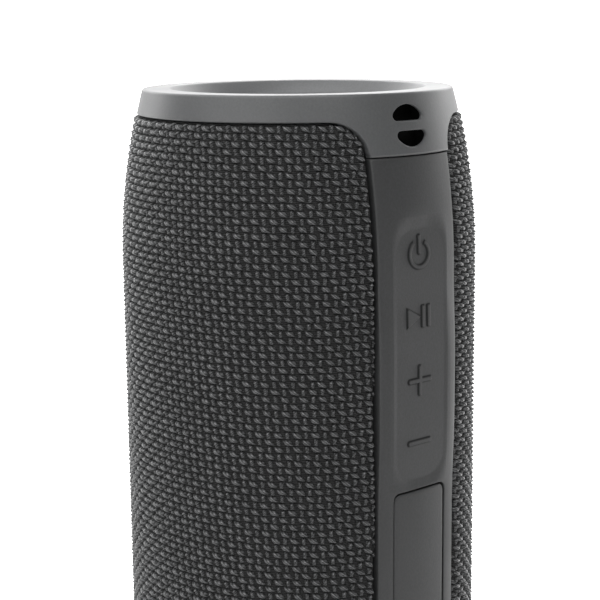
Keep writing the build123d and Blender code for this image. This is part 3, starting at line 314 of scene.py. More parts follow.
def panel_surface(y, z):
    """How far out the panel lies: the barrel, a swell round the keys, their flat, and the symbols."""
    swell = hump_height * smooth((z - hump_low) / hump_low_run) * smooth((hump_high - z) / hump_high_run)
    radius = wall(z, panel_inset)
    rounded = np.sqrt((radius + swell) ** 2 - y**2)
    flat = np.sqrt((radius + recess_rise * swell) ** 2 - recess_half**2) - recess_step
    middle, half_height = (recess_low + recess_high) / 2, (recess_high - recess_low) / 2
    edge = box_distance(y, z - middle, recess_half + recess_side, half_height, recess_corner)
    end = smooth((np.abs(z - middle) - half_height + recess_end) / recess_end)
    share = smooth(0.5 - edge / (recess_blend + recess_end_blend * end))
    raised = icon_relief * smooth(0.5 - symbols(y, z) / icon_edge)
    return rounded - share * np.maximum(rounded - flat, 0) + raised


def paint_crease_shade(made):
    """Stores how near each point lies to a symbol's wall, where the colour is darkened as painted shade."""
    points = np.zeros(len(made.data.vertices) * 3)
    made.data.vertices.foreach_get("co", points)
    points = points.reshape(-1, 3) / MM
    away = symbols(points[:, 1], points[:, 2]) - shade_line_offset
    painted_crease_shade = np.exp(-((away / shade_line_width) ** 2))
    layer = made.data.attributes.new("painted_crease_shade", "FLOAT", "POINT")
    layer.data.foreach_set("value", painted_crease_shade)


def ring_surface(y, z):
    """How far out the rings lie."""
    return np.sqrt(wall(z, ring_inset) ** 2 - y**2)


def cover_surface(y, z):
    """How far out the port cover lies, level with the panel beside it."""
    return np.sqrt(wall(z, panel_inset) ** 2 - y**2)


def panel_point(y, z, depth, surface):
    """Points of the panel side: across, up, and inwards from a surface."""
    return np.stack(np.broadcast_arrays(surface(y, z) - depth, y, z), axis=-1)


def rim_of(across, up):
    """The points round a grid of lines, in order."""
    rim = [(y, up[0]) for y in across] + [(across[-1], z) for z in up[1:]]
    rim += [(y, up[-1]) for y in across[-2::-1]] + [(across[0], z) for z in up[-2:0:-1]]
    return np.array(rim)


def rim_loops(rim, edge, shares):
    """Level loops on the way from a rim to an opening's edge, each with its depth."""
    return [(rim + (edge - rim) * share, 0.0) for share in shares]


def lip_loops(outline, size, steps):
    """Loops that round over an edge, each with its depth; outline(extra) is the edge grown by extra."""
    angles = [radians(90 * step / steps) for step in range(1, steps + 1)]
    return [(outline(size * (1 - sin(angle))), size * (1 - cos(angle))) for angle in angles]


def skin_of_loops(loops, surface):
    """Points and quads of closed loops at their depths below a surface."""
    points = [panel_point(loop[:, 0], loop[:, 1], depth, surface) for loop, depth in loops]
    return np.concatenate(points), grid_faces(len(loops), len(loops[0][0]), wrap=True)


# ---- Materials ----
strand_slant = 37
strand_scale = 0.85
# the yarn's colour runs between these two along its strands: painted shade in the grooves, painted
# highlight on the tops
yarn_groove_shade = 0.012
yarn_strand_highlight = 0.095
materials = {}


def new_material(name):
    """A node material with only its Principled shader and output, kept under its name."""
    material = bpy.data.materials.new(name)
    material.use_nodes = True
    materials[name] = material
    return material.node_tree, material.node_tree.nodes["Principled BSDF"]


def link(tree, source, target):
    """Joins an output to an input."""
    tree.links.new(source, target)


def object_coordinates(tree, scale):
    """Object coordinates in metres times scale, which may differ along the three axes."""
    coordinates = tree.nodes.new("ShaderNodeTexCoord")
    mapping = tree.nodes.new("ShaderNodeMapping")
    mapping.inputs["Scale"].default_value = scale if hasattr(scale, "__len__") else (scale,) * 3
    link(tree, coordinates.outputs["Object"], mapping.inputs["Vector"])
    return mapping.outputs["Vector"]


def noise(tree, vector, scale, detail=3.0, roughness=0.5):
    """A cloudy pattern."""
    texture = tree.nodes.new("ShaderNodeTexNoise")
    texture.inputs["Scale"].default_value = scale
    texture.inputs["Detail"].default_value = detail
    texture.inputs["Roughness"].default_value = roughness
    link(tree, vector, texture.inputs["Vector"])
    return texture.outputs["Fac"]


def ramp(tree, value, low, high, start=0.3, end=0.7):
    """Maps a value between start and end to a colour or number between low and high."""
    if hasattr(low, "__len__"):
        node = tree.nodes.new("ShaderNodeValToRGB")
        for element, place, colour in zip(node.color_ramp.elements, (start, end), (low, high)):
            element.position = place
            element.color = (*colour, 1)
        link(tree, value, node.inputs["Fac"])
        return node.outputs["Color"]
    node = tree.nodes.new("ShaderNodeMapRange")
    for socket, number in zip(("From Min", "From Max", "To Min", "To Max"), (start, end, low, high)):
        node.inputs[socket].default_value = number
    link(tree, value, node.inputs["Value"])
    return node.outputs["Result"]


def mixed(tree, way, first, second, amount):
    """Two colours or patterns mixed by adding, multiplying or another blend."""
    node = tree.nodes.new("ShaderNodeMix")
    node.data_type = "RGBA"
    node.blend_type = way
    node.clamp_result = False
    node.inputs["Factor"].default_value = amount
    link(tree, first, node.inputs["A"])
    link(tree, second, node.inputs["B"])
    return node.outputs["Result"]


def waves(tree, vector, **settings):
    """A wave pattern, from its type, direction and other settings."""
    texture = tree.nodes.new("ShaderNodeTexWave")
    for name, value in settings.items():
        if hasattr(texture, name):
            setattr(texture, name, value)
        else:
            texture.inputs[name.replace("_", " ")].default_value = value
    link(tree, vector, texture.inputs["Vector"])
    return texture.outputs["Fac"]


def bump(tree, height, distance, strength):
    """A fine relief."""
    node = tree.nodes.new("ShaderNodeBump")
    node.inputs["Distance"].default_value = distance
    node.inputs["Strength"].default_value = strength
    link(tree, height, node.inputs["Height"])
    return node.outputs["Normal"]


def finish(tree, shader, pattern, colours, roughness, relief, start=0.3, end=0.7):
    """Colour, roughness and fine relief that all follow one pattern."""
    link(tree, ramp(tree, pattern, *colours, start, end), shader.inputs["Base Color"])
    link(tree, ramp(tree, pattern, *roughness, start, end), shader.inputs["Roughness"])
    link(tree, bump(tree, pattern, *relief), shader.inputs["Normal"])


def grey(level, tint=1.0):
    """A grey as linear RGB, cooler as tint rises above 1."""
    return (level * (2 - tint), level, level * tint)


def moulded(name, level, roughness, grain=0.5, spread=0.12, grain_size=0.45, with_painted_crease_shade=False, specular=0.5):
    """Moulded plastic or rubber with a fine spark-eroded grain and faint mottling."""
    tree, shader = new_material(name)
    place = object_coordinates(tree, 1 / MM)
    fine = noise(tree, place, 1.0 / grain_size, detail=2.0, roughness=0.6)
    broad = noise(tree, place, 0.05, detail=3.0)
    colour = ramp(tree, fine, grey(level * (1 - spread), 1.02), grey(level * (1 + spread), 1.02))
    # near the symbols' walls the colour is darkened and the gloss cut down, painted shade in the creases
    if with_painted_crease_shade:
        attribute = tree.nodes.new("ShaderNodeAttribute")
        attribute.attribute_name = "painted_crease_shade"
        painted_shade_mark = attribute.outputs["Fac"]
        colour = mixed(tree, "MULTIPLY", colour, ramp(tree, painted_shade_mark, (1,) * 3, (0.22,) * 3, 0.0, 1.0), 1.0)
        link(tree, ramp(tree, painted_shade_mark, specular, 0.1, 0.0, 1.0), shader.inputs["Specular IOR Level"])
    else:
        shader.inputs["Specular IOR Level"].default_value = specular
    link(tree, colour, shader.inputs["Base Color"])
    link(tree, ramp(tree, broad, roughness - 0.04, roughness + 0.05), shader.inputs["Roughness"])
    link(tree, bump(tree, fine, 0.00004, grain), shader.inputs["Normal"])


def metal(name, colour, roughness):
    """Plated metal with fine lines across and slight roughness changes."""
    tree, shader = new_material(name)
    place = object_coordinates(tree, (0.4 / MM, 0.4 / MM, 6.0 / MM))
    lines = noise(tree, place, 1.0)
    darker = tuple(channel * 0.8 for channel in colour)
    finish(tree, shader, lines, (darker, colour), (roughness - 0.06, roughness + 0.08), (0.00001, 0.3))
    shader.inputs["Metallic"].default_value = 1.0


def tinted(name, colour, roughness, size=0.6):
    """A coloured plastic, film or board with fine mottling."""
    tree, shader = new_material(name)
    pattern = noise(tree, object_coordinates(tree, 1 / MM), 1.0 / size)
    spread = 0.15
    low = tuple(channel * (1 - spread) for channel in colour)
    high = tuple(channel * (1 + spread) for channel in colour)
    finish(tree, shader, pattern, (low, high), (roughness - 0.03, roughness + 0.04), (0.00003, 0.3))


def yarn_material():
    """Plied polyester yarn: strands wind round each float at a slant, each of many fine fibres. The colour
    runs from dark in the strands' grooves to light on their tops, painted shade and highlight.
    """
    tree, shader = new_material("yarn")
    fibres = tree.nodes.new("ShaderNodeUVMap")
    fibres.uv_map = "fibres"
    winding = {"Scale": strand_scale, "Distortion": 1.3, "Detail": 2.0, "Detail_Scale": 0.9}
    strands = waves(tree, fibres.outputs["UV"], **winding)
    stretch = tree.nodes.new("ShaderNodeMapping")
    stretch.inputs["Scale"].default_value = (1.0, 0.2, 1.0)
    link(tree, fibres.outputs["UV"], stretch.inputs["Vector"])
    fine = noise(tree, stretch.outputs["Vector"], 9.0, detail=2.0, roughness=0.6)
    relief = mixed(tree, "ADD", strands, fine, 0.25)
    broad = noise(tree, object_coordinates(tree, 1 / MM), 0.12, detail=2.0)
    # dark in the grooves and light on the strands' tops: painted shade and highlight
    strand_shade_and_highlight = ramp(tree, relief, grey(yarn_groove_shade, 1.02), grey(yarn_strand_highlight, 1.02), 0.25, 1.05)
    tone = ramp(tree, broad, (0.88,) * 3, (1.1,) * 3)
    link(tree, mixed(tree, "MULTIPLY", strand_shade_and_highlight, tone, 1.0), shader.inputs["Base Color"])
    link(tree, ramp(tree, relief, 0.46, 0.27, 0.3, 1.1), shader.inputs["Roughness"])
    link(tree, bump(tree, relief, 0.00005, 1.0), shader.inputs["Normal"])
    shader.inputs["Sheen Weight"].default_value = 0.08
    shader.inputs["Sheen Roughness"].default_value = 0.4


def painted_shade_ground_material():
    """The ground of the cloth between its yarns, with fine level threads, coloured darker than the yarn and
    with its gloss cut down as painted shade between the yarns.
    """
    tree, shader = new_material("cloth_ground_painted_shade")
    place = object_coordinates(tree, 1 / MM)
    fluff = noise(tree, place, 3.0, detail=2.0)
    threads = waves(tree, place, bands_direction="Z", Scale=0.9, Distortion=2.5, Detail_Scale=2.0)
    relief = mixed(tree, "MULTIPLY", threads, fluff, 1.0)
    # darker than the yarn, lighter on the threads' ridges, and with the gloss cut down below: painted shade
    # between the yarns
    link(tree, ramp(tree, relief, grey(0.006), grey(0.045), 0.05, 0.55), shader.inputs["Base Color"])
    link(tree, bump(tree, relief, 0.0001, 0.6), shader.inputs["Normal"])
    shader.inputs["Specular IOR Level"].default_value = 0.12
    shader.inputs["Roughness"].default_value = 0.9


def turned_metal(name, level, roughness):
    """Spun metal: fine circular lines about the speaker's axis."""
    tree, shader = new_material(name)
    place = object_coordinates(tree, 1.0)
    rings = {"wave_type": "RINGS", "rings_direction": "Z"}
    lines = waves(tree, place, Scale=900.0, Distortion=1.5, Detail=2.0, **rings)
    colours = (grey(level * 0.8), grey(level))
    finish(tree, shader, lines, colours, (roughness - 0.05, roughness + 0.07), (0.00002, 0.35), 0.2, 0.8)
    shader.inputs["Metallic"].default_value = 0.9


panel_finish = {"grain": 0.6, "spread": 0.14}
moulded("ring_plastic", 0.075, 0.38, grain=0.3, spread=0.08)
# the inside of the well is a lighter copy of the ring plastic, painted light for its brighter wall
moulded("painted_light_well_plastic", 0.11, 0.45, grain=0.3, spread=0.08)
moulded("panel_plastic", 0.029, 0.50, **panel_finish)
moulded("keypad_rubber", 0.029, 0.50, **panel_finish, with_painted_crease_shade=True)
moulded("cover_rubber", 0.029, 0.50, **panel_finish)
# near black with little gloss, painted shade for the insides of the strap holes
moulded("painted_shade_pocket", 0.005, 0.8, grain=0.2, spread=0.1, specular=0.1)
moulded("radiator_rubber", 0.018, 0.5, grain=0.25, spread=0.15)
moulded("cage_plastic", 0.012, 0.6, spread=0.2)
moulded("core_plastic", 0.022, 0.5, spread=0.18)
moulded("seal_rubber", 0.012, 0.62, spread=0.2)
moulded("frame_plastic", 0.028, 0.48, spread=0.15)
moulded("basket_steel", 0.015, 0.42, grain=0.8, grain_size=0.3)
moulded("cone_plastic", 0.02, 0.7, grain=0.9, grain_size=0.8)
moulded("gasket_foam", 0.015, 0.9, grain=1.0, grain_size=0.25)
moulded("holder_plastic", 0.03, 0.5)
turned_metal("radiator_metal", 0.30, 0.34)
metal("screw_steel", (0.24, 0.24, 0.25), 0.35)
metal("magnet_steel", (0.5, 0.5, 0.5), 0.3)
metal("socket_steel", (0.6, 0.6, 0.6), 0.25)
tinted("spider_cloth", (0.42, 0.3, 0.12), 0.85, size=0.3)
tinted("cell_wrap", (0.05, 0.13, 0.3), 0.3)
tinted("circuit_board", (0.012, 0.08, 0.035), 0.35)
tinted("component_body", (0.025, 0.025, 0.027), 0.4)
tinted("jack_plastic", (0.015, 0.015, 0.016), 0.35)
tinted("ribbon_film", (0.42, 0.18, 0.03), 0.3)
tinted("wire_insulation", (0.3, 0.02, 0.02), 0.45)
yarn_material()
painted_shade_ground_material()
materials["woven_fabric"] = materials["yarn"]


def dress_cad_nodes():
    """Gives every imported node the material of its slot."""
    slots = {entry["node"]: entry["material_slot"] for entry in frame["record"]["subparts"]}
    for node_name, node in frame["nodes"].items():
        node.data.materials.clear()
        node.data.materials.append(materials[slots[node_name]])


# ---- End rings ----
patch_half = 6.0
patch_top = 0.9
patch_bottom = 11.4
patch_columns = 12
patch_rows = 10


def ring_profile():
    """The ring's section from the bottom of the well to the outer edge, as (radius, depth) rows,
    and the depth at which the skirt begins."""
    rows = [(well_radius + 0.1, well_depth), (well_radius + 0.1, lip_end)]
    rows += [(lip_radius + 0.3, lip_end), (lip_radius + 0.1, lip_end - 0.1)]
    rows += [(lip_radius, lip_end - 0.35), (lip_radius, lip_slope + 0.5)]
    rows += [(lip_radius + 0.08, lip_slope + 0.2), (lip_radius + 0.28, lip_slope - 0.1)]
    rows += [(well_radius - 0.3, 0.38), (well_radius - 0.08, 0.17)]
    rows += [(well_radius + 0.2, 0.03), (well_radius + 0.5, 0)]
    slope = atan2(taper, crown - ring_inset)
    tangent = ring_edge * (1 - sin(slope))
    centre = float(wall(length - tangent, ring_inset)) - ring_edge * cos(slope)
    rows += [(well_radius + (centre - well_radius) * share, 0) for share in (0.35, 0.65)]
    for angle in ((pi / 2 - slope) * step / 5 for step in range(6)):
        rows.append((centre + ring_edge * sin(angle), ring_edge * (1 - cos(angle))))
    return rows, tangent


def skirt_depths():
    """Depths of the skirt's rows where the tab is, which the strap holes' patches fit between."""
    upper = np.linspace(patch_top, strap_depth, patch_rows + 1)
    lower = np.linspace(strap_depth, patch_bottom, patch_rows + 1)[1:]
    return np.concatenate([upper, lower, [tab_depth - skirt_lip]])


def ring_columns():
    """Across, turn and skirt length of each column, all round from the middle of the tab."""
    across = np.concatenate([np.linspace(0, patch_half, patch_columns + 1), [7, 8, 9, 9.8, 10.2]])
    columns = [(value, None, tab_depth) for value in across]
    corner = panel_half + tab_flare
    for angle in np.radians(np.linspace(0, 90, 13)):
        columns.append((corner - tab_flare * cos(angle), None, tab_depth - tab_flare * sin(angle)))
    turn = np.arcsin(corner / wall(length - ring_skirt, ring_inset))
    turns = np.linspace(turn, pi, 76)[1:]
    half = columns + [(None, value, ring_skirt) for value in turns]
    other = []
    for value, turn, skirt in half[-2:0:-1]:
        other.append((None if value is None else -value, None if turn is None else 2 * pi - turn, skirt))
    return half + other


def turned_point(column, radius, depth):
    """A point of the ring on a column, at its own radius and a depth below the flat end."""
    across, turn, _ = column
    if across is not None:
        turn = asin(across / float(wall(length)))
    return (radius * cos(turn), radius * sin(turn), length - depth)


def skirt_point(column, inset, depth):
    """A point of the ring on a column, on the barrel's outline moved in by inset."""
    across, turn, _ = column
    reach = float(wall(length - depth, inset))
    if across is None:
        return (reach * cos(turn), reach * sin(turn), length - depth)
    return (sqrt(reach**2 - across**2), across, length - depth)


def d_outline(bearings, middle):
    """Radius of a D-shaped strap hole about its own middle, for each bearing."""
    flat = strap_bar / 2
    corner_z = flat + strap_corner
    corner_y = sqrt((strap_radius - strap_corner) ** 2 - corner_z**2)
    corner_angle = atan2(corner_y, corner_z)
    points = [(strap_radius * sin(a), strap_radius * cos(a)) for a in np.linspace(0, corner_angle, 40)]
    for a in np.linspace(corner_angle, pi, 24):
        points.append((corner_y + strap_corner * sin(a), corner_z + strap_corner * cos(a)))
    points += [(value, flat) for value in np.linspace(corner_y, 0, 30)[1:]]
    points = np.array(points)
    points = np.concatenate([points, points[-2:0:-1] * (-1, 1)])
    away = points * (1, np.sign(middle)) - (0, middle)
    angles = np.arctan2(away[:, 1], away[:, 0])
    order = np.argsort(angles)
    radii = np.hypot(away[:, 0], away[:, 1])
    return np.interp(bearings, angles[order], radii[order], period=2 * pi)


def strap_patch(depths, upper):
    """The skin round one strap hole, its rounded lip and the hole's wall."""
    rim = rim_of(np.linspace(-patch_half, patch_half, 2 * patch_columns + 1), depths)
    shift = upper_strap_shift if upper else lower_strap_shift
    middle = (strap_bar / 2 + strap_radius) / 2 * (1 if upper else -1)
    angles = np.arctan2(strap_depth - rim[:, 1] - middle, rim[:, 0] - shift)
    radii = d_outline(angles, middle)

    def hole(extra):
        """The hole's outline grown by extra, across and below the ring's end."""
        y = shift + strap_stretch * np.cos(angles) * (radii + extra)
        return np.stack([y, strap_depth - (middle + np.sin(angles) * (radii + extra))], axis=-1)

    loops = rim_loops(rim, hole(strap_lip), (0, 0.4, 0.75, 1)) + lip_loops(hole, strap_lip, 4)
    loops += [(hole(0), strap_edge)]
    return skin_of_loops([(loop * (1, -1) + (0, length), depth) for loop, depth in loops], ring_surface)


def build_ring(name, node, with_holes):
    """An end ring, built at the top and mirrored for the bottom."""
    rows, tangent = ring_profile()
    depths = skirt_depths()
    columns = ring_columns()
    count = len(columns)
    grid = [[turned_point(column, radius, depth) for column in columns] for radius, depth in rows]
    for share in (depths - tangent) / (tab_depth - skirt_lip - tangent):
        row = [(column, tangent + share * (column[2] - skirt_lip - tangent)) for column in columns]
        grid.append([skirt_point(column, ring_inset, depth) for column, depth in row])
    inner = ring_inset + ring_wall
    # under the skirt's edge and back up the inside of its wall
    for inset, short in ((0.31, 0.06), (0.45, 0), (1.2, 0), (inner, 0), (inner, 1.0)):
        grid.append([skirt_point(column, inset, column[2] - short) for column in columns])
    grid = np.array(grid)
    faces = grid_faces(len(grid), count, wrap=True)
    parts = []
    if with_holes:
        row_of = np.repeat(np.arange(len(grid) - 1), count) - len(rows)
        column_of = np.tile(np.arange(count), len(grid) - 1)
        signed = np.where(column_of > count // 2, column_of - count, column_of)
        inside = (signed >= -patch_columns) & (signed < patch_columns)
        faces = faces[~(inside & (row_of >= 0) & (row_of < 2 * patch_rows))]
        parts = [strap_patch(depths[: patch_rows + 1], True), strap_patch(depths[patch_rows:-1], False)]
    points, quads = joined([(grid, faces), *parts])
    if node == "bottom_ring":
        points = points * (1, 1, -1) + (0, 0, length)
        quads = quads[:, ::-1]
    points, quads, triangles = welded(points, quads)
    ring = new_object(name, points, quads, materials["ring_plastic"], triangles)
    fix_normals(ring)
    # the faces inside the well take the lighter copy of the ring plastic, painted light
    ring.data.materials.append(materials["painted_light_well_plastic"])
    for polygon in ring.data.polygons:
        if polygon.center.xy.length < (well_radius + 0.12) * MM:
            polygon.material_index = 1
    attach(ring, "enclosure")
    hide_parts(node)


def build_strap_pocket():
    """A cup behind the strap holes, where the strap would loop round the bar, coloured near black as
    painted shade inside the holes.
    """
    across = np.linspace(-6.4, 5.8, 14)
    up = np.linspace(length - tab_depth - 0.6, length - 1.4, 14)
    y, z = np.meshgrid(across, up)
    rim = np.ones(y.shape, bool)
    rim[1:-1, 1:-1] = False
    points = panel_point(y, z, np.where(rim, strap_edge + 0.4, strap_pocket_depth), ring_surface)
    quads = grid_faces(len(up), len(across))[:, ::-1]
    pocket = new_object("strap_pocket", points, quads, materials["painted_shade_pocket"])
    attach(pocket, "enclosure")


def fix_normals(made):
    """Turns every face outwards, which needs the piece to be one connected skin."""
    mesh = bmesh.new()
    mesh.from_mesh(made.data)
    bmesh.ops.recalc_face_normals(mesh, faces=mesh.faces)
    mesh.to_mesh(made.data)
    mesh.free()
    made.data.shade_smooth()


# ---- Control panel and keypad ----
key_step = (key_heights["power"] - key_heights["play_pause"]) / 100
core_steps = 30
web_steps = 48
fine_half = 60
rows_above = 58
rows_below = 63
fine_top = key_heights["power"] + rows_above * key_step
fine_bottom = key_heights["volume_down"] - rows_below * key_step
patch_low = cover_low - window_margin
patch_high = cover_high + window_margin
side_wall = [(0.0, 1.2), (0.0, 2.6)]


def panel_lines():
    """The panel's lines across and up, each with its depth below the face."""
    fine = np.arange(-fine_half, fine_half + 1) * key_step
    side = [(value, 0.0) for value in (8.2, 8.8, 9.4, panel_half - panel_edge)]
    for angle in np.radians((30, 60, 90)):
        side.append((panel_half - panel_edge + panel_edge * sin(angle), panel_edge * (1 - cos(angle))))
    side += [(panel_half - inwards, depth) for inwards, depth in side_wall]
    across = [(-y, d) for y, d in side[::-1]] + [(y, 0.0) for y in fine] + side
    fine_rows = int(round((fine_top - fine_bottom) / key_step))
    up = [(fine_top - key_step * row, 0.0) for row in range(fine_rows + 1)]
    ends = [(panel_end, 0.0), (0.9, 0.0), (panel_rounding, 0.0)]
    for angle in np.radians((30, 60, 90)):
        ends.append((panel_rounding * (1 - sin(angle)), panel_rounding * (1 - cos(angle))))
    ends += side_wall
    above = [(z, 0.0) for z in np.linspace(fine_top, panel_high - panel_end, 9)[1:-1]]
    above += [(panel_high - inwards, depth) for inwards, depth in ends]
    between = [(z, 0.0) for z in np.linspace(patch_high, patch_low, 48)]
    below = [(z, 0.0) for z in np.linspace(patch_low, panel_low + panel_end, 22)[1:-1]]
    below += [(panel_low + inwards, depth) for inwards, depth in ends]
    return np.array(across), np.array(above[::-1] + up + between + below)


def window_patch(across, up):
    """The skin round the port cover's window, with its rounded lip and wall."""
    rim = rim_of(across, up)
    centre = np.array([(window_left + window_right) / 2, (cover_low + cover_high) / 2])
    half = np.array([(window_right - window_left) / 2, (cover_high - cover_low) / 2 + window_gap])

    def outline(extra):
        """The nearest point to each rim point on the window's outline, grown by extra."""
        away = rim - centre
        corner = np.where(away[:, :1] > 0, window_corner, hinge_corner)
        inner = np.clip(away, corner - half, half - corner)
        direction = away - inner
        size = np.maximum(np.hypot(direction[:, 0], direction[:, 1]), 1e-9)[:, None]
        return centre + inner + direction / size * (corner + extra)

    loops = rim_loops(rim, outline(window_lip), (0, 0.5, 1)) + lip_loops(outline, window_lip, 3)
    return skin_of_loops(loops + [(outline(0), 0.9), (outline(0), 1.9)], panel_surface)


def key_zone(y, z, key_height):
    """0 outside a key, 1 in its middle, and 2 to 5 for the right, left, upper and lower web."""
    dy = y / key_step
    dz = (z - key_height) / key_step
    far = np.maximum(np.abs(dy), np.abs(dz))
    sideways = np.abs(dy) > np.abs(dz)
    web = np.where(sideways, np.where(dy > 0, 2, 3), np.where(dz > 0, 4, 5))
    return np.where(far > web_steps, 0, np.where(far < core_steps, 1, web))


def split_by_diagonals(quads, points, key_height):
    """Two triangles for each quad, cut along the diagonal that points at the key's middle."""
    middle = points[quads].mean(axis=1)
    rising = (middle[:, 1] > 0) == (middle[:, 2] > key_height)
    corner_y = points[quads][:, :, 1]
    corner_z = points[quads][:, :, 2]
    score = np.where(rising[:, None], corner_y + corner_z, corner_y - corner_z)
    first = np.argmax(score, axis=1)
    order = (first[:, None] + np.arange(4)) % 4
    turned = np.take_along_axis(quads, order, axis=1)
    return np.concatenate([turned[:, [0, 1, 2]], turned[:, [0, 2, 3]]])


def build_panel():
    """The panel's skin, and the keypad's as separate pieces that meet edge to edge."""
    across, up = panel_lines()
    y, z = np.meshgrid(across[:, 0], up[:, 0])
    depth = across[None, :, 1] + up[:, None, 1]
    points = panel_point(y, z, depth, panel_surface).reshape(-1, 3)
    quads = grid_faces(len(up), len(across))[:, ::-1]
    middle_y = points[quads][:, :, 1].mean(axis=1)
    middle_z = points[quads][:, :, 2].mean(axis=1)
    keypad = (np.abs(middle_y) < fine_half * key_step) & (middle_z < fine_top) & (middle_z > fine_bottom)
    patch_edge = panel_half - panel_edge
    window = (np.abs(middle_y) < patch_edge) & (middle_z > patch_low) & (middle_z < patch_high)
    inner_across = across[(np.abs(across[:, 0]) <= patch_edge + 1e-6) & (across[:, 1] == 0)][:, 0]
    inner_up = up[(up[:, 0] <= patch_high + 1e-6) & (up[:, 0] >= patch_low - 1e-6)][:, 0]
    skin = joined([(points, quads[~keypad & ~window]), window_patch(inner_across, inner_up)])
    skin_points, skin_quads, skin_triangles = welded(*skin)
    panel = new_object("panel_skin", skin_points, skin_quads, materials["panel_plastic"], skin_triangles)
    fix_normals(panel)
    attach(panel, "enclosure")
    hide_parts("control_panel")

    pad_quads = quads[keypad]
    in_key = np.zeros(len(pad_quads), bool)
    for key, height in key_heights.items():
        mine = key_zone(middle_y[keypad], middle_z[keypad], height) > 0
        in_key |= mine
        build_key(key, height, points, pad_quads[mine])
    mat = new_object("keypad_skin", points, pad_quads[~in_key], materials["keypad_rubber"])
    paint_crease_shade(mat)
    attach(mat, "enclosure")
    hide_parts("keypad_mat")


def build_key(key, height, points, quads):
    """One key: a middle that moves, and four mitred webs between it and the mat."""
    triangles = split_by_diagonals(quads, points, height)
    middle = points[triangles].mean(axis=1)
    zone = key_zone(middle[:, 1], middle[:, 2], height)
    rubber, no_quads = materials["keypad_rubber"], np.zeros((0, 4), int)
    core = new_object(f"{key}_key_cap", points, no_quads, rubber, triangles[zone == 1])
    paint_crease_shade(core)
    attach(core, f"{key}_key")
    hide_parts(f"{key}_button")
    webs = {"right": (2, 1, 0), "left": (3, -1, 0), "upper": (4, 0, 1), "lower": (5, 0, -1)}
    for side, (number, way_y, way_z) in webs.items():
        web = new_object(f"{key}_key_web_{side}", points, no_quads, rubber, triangles[zone == number])
        paint_crease_shade(web)
        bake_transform(web)


# ---- Port cover ----
def build_port_cover():
    """The rubber cover: a curved face with soft edges, a flat back and its sealing lip."""
    half = np.array([(cover_right + cover_half) / 2, (cover_high - cover_low) / 2])
    centre = np.array([(cover_right - cover_half) / 2, (cover_low + cover_high) / 2])
    closed = 7.04  # more than half the cover's width, where every loop has shrunk to a line

    def outline(inwards):
        """The cover's outline moved inwards, always with the same number of points."""
        radius = max(cover_corner - inwards, 0.0)
        reach = np.maximum(half - inwards - radius, 0.0)
        loop = []
        signs = ((1, 1), (-1, 1), (-1, -1), (1, -1))
        for place, sign in enumerate(signs):
            turn = np.radians(np.linspace(0, 90, 9)) + place * pi / 2
            corner, following = reach * sign, reach * signs[(place + 1) % 4]
            loop += [corner + (radius * cos(a), radius * sin(a)) for a in turn]
            end = following + (radius * cos(turn[-1]), radius * sin(turn[-1]))
            start = loop[-1]
            loop += [start + (end - start) * share for share in np.linspace(0, 1, 26)[1:-1]]
        return np.array(loop) + centre

    def flat(inwards, x):
        """The outline moved inwards, as a flat loop at a distance from the speaker's axis."""
        loop = outline(inwards)
        return np.stack([np.full(len(loop), x), loop[:, 0], loop[:, 1]], axis=-1)

    face = [(outline(inwards), 0.0) for inwards in (closed, 6.0, 4.6, 3.2, 2.0, 1.2, 0.7, cover_rounding)]
    face += lip_loops(outline, cover_rounding, 4)
    loops = [panel_point(loop[:, 0], loop[:, 1], depth, cover_surface) for loop, depth in face]
    lip_out, lip_in = cover_half - 5.6, cover_half - 4.4
    back = cover_inside + 1.6
    section = [(0.02, back + 0.25), (0.25, back), (lip_out - 0.1, back), (lip_out, back - 0.15)]
    section += [(lip_out, cover_inside + 0.35), (lip_out + 0.3, cover_inside), (lip_in - 0.3, cover_inside)]
    section += [(lip_in, cover_inside + 0.3), (lip_in, back - 0.1), (lip_in + 0.15, back)]
    section += [(5.0, back), (closed, back)]
    loops += [flat(inwards, x) for inwards, x in section]
    quads = grid_faces(len(loops), len(loops[0]), wrap=True)
    points, quads, triangles = welded(np.concatenate(loops), quads)
    cover = new_object("port_cover_skin", points, quads, materials["cover_rubber"], triangles)
    fix_normals(cover)
    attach(cover, "port_flap")
    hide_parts("port_cover")


# ---- Woven cover ----
columns_round = 126
row_pitch = 1.43
skew = 0.054
weave_sectors = 8


def slot_edge(depth):
    """How far across the cloth's edge lies at a depth below the nearer end."""
    depth = np.asarray(depth, float)
    corner = panel_half + tab_flare
    drop = np.clip(tab_depth - depth, 0, None)
    reach = tab_flare - slot_corner_gap + slot_corner_flare * np.clip(drop / tab_flare, 0, 1)
    arc = corner - np.sqrt(np.maximum(reach**2 - drop**2, 0))
    return np.where(depth >= tab_depth, slot_half, arc)


def cloth_margin(turn, z):
    """Distances from the cloth's edge along the slot and from its end, positive on the cloth."""
    depth = np.minimum(z, length - z)
    across = np.abs(wall(z) * np.sin(turn))
    front = np.cos(turn) > 0
    corner = panel_half + tab_flare
    distance = np.hypot(across - corner, depth - tab_depth)
    angle = np.clip(np.arctan2(tab_depth - depth, corner - across) / (pi / 2), 0, 1)
    reach = tab_flare - slot_corner_gap + slot_corner_flare * angle
    far = 9.0
    beside = across - slot_half
    beside = np.where((depth < tab_depth) & (across < corner), reach - distance, beside)
    beside = np.where((depth < tab_depth) & (across >= corner), far, beside)
    beside = np.where(front, beside, far)
    return beside, depth - fabric_end


def cloth_point(turn, z, lift):
    """A point of the cloth at a lift above its ground, rolled in at its edges."""
    beside, end = cloth_margin(turn, z)
    drop = np.zeros(np.broadcast(turn, z).shape)
    for margin, roll in ((beside, slot_roll), (end, end_roll)):
        inside = np.clip(margin, 0, roll)
        drop = drop + roll - np.sqrt(roll**2 - (roll - inside) ** 2)
        drop = drop + np.clip(-margin, 0, 3) * 2.0
    reach = wall(z) - cloth_base + lift - drop
    return np.stack([reach * np.cos(turn), reach * np.sin(turn), z + 0 * reach], axis=-1)


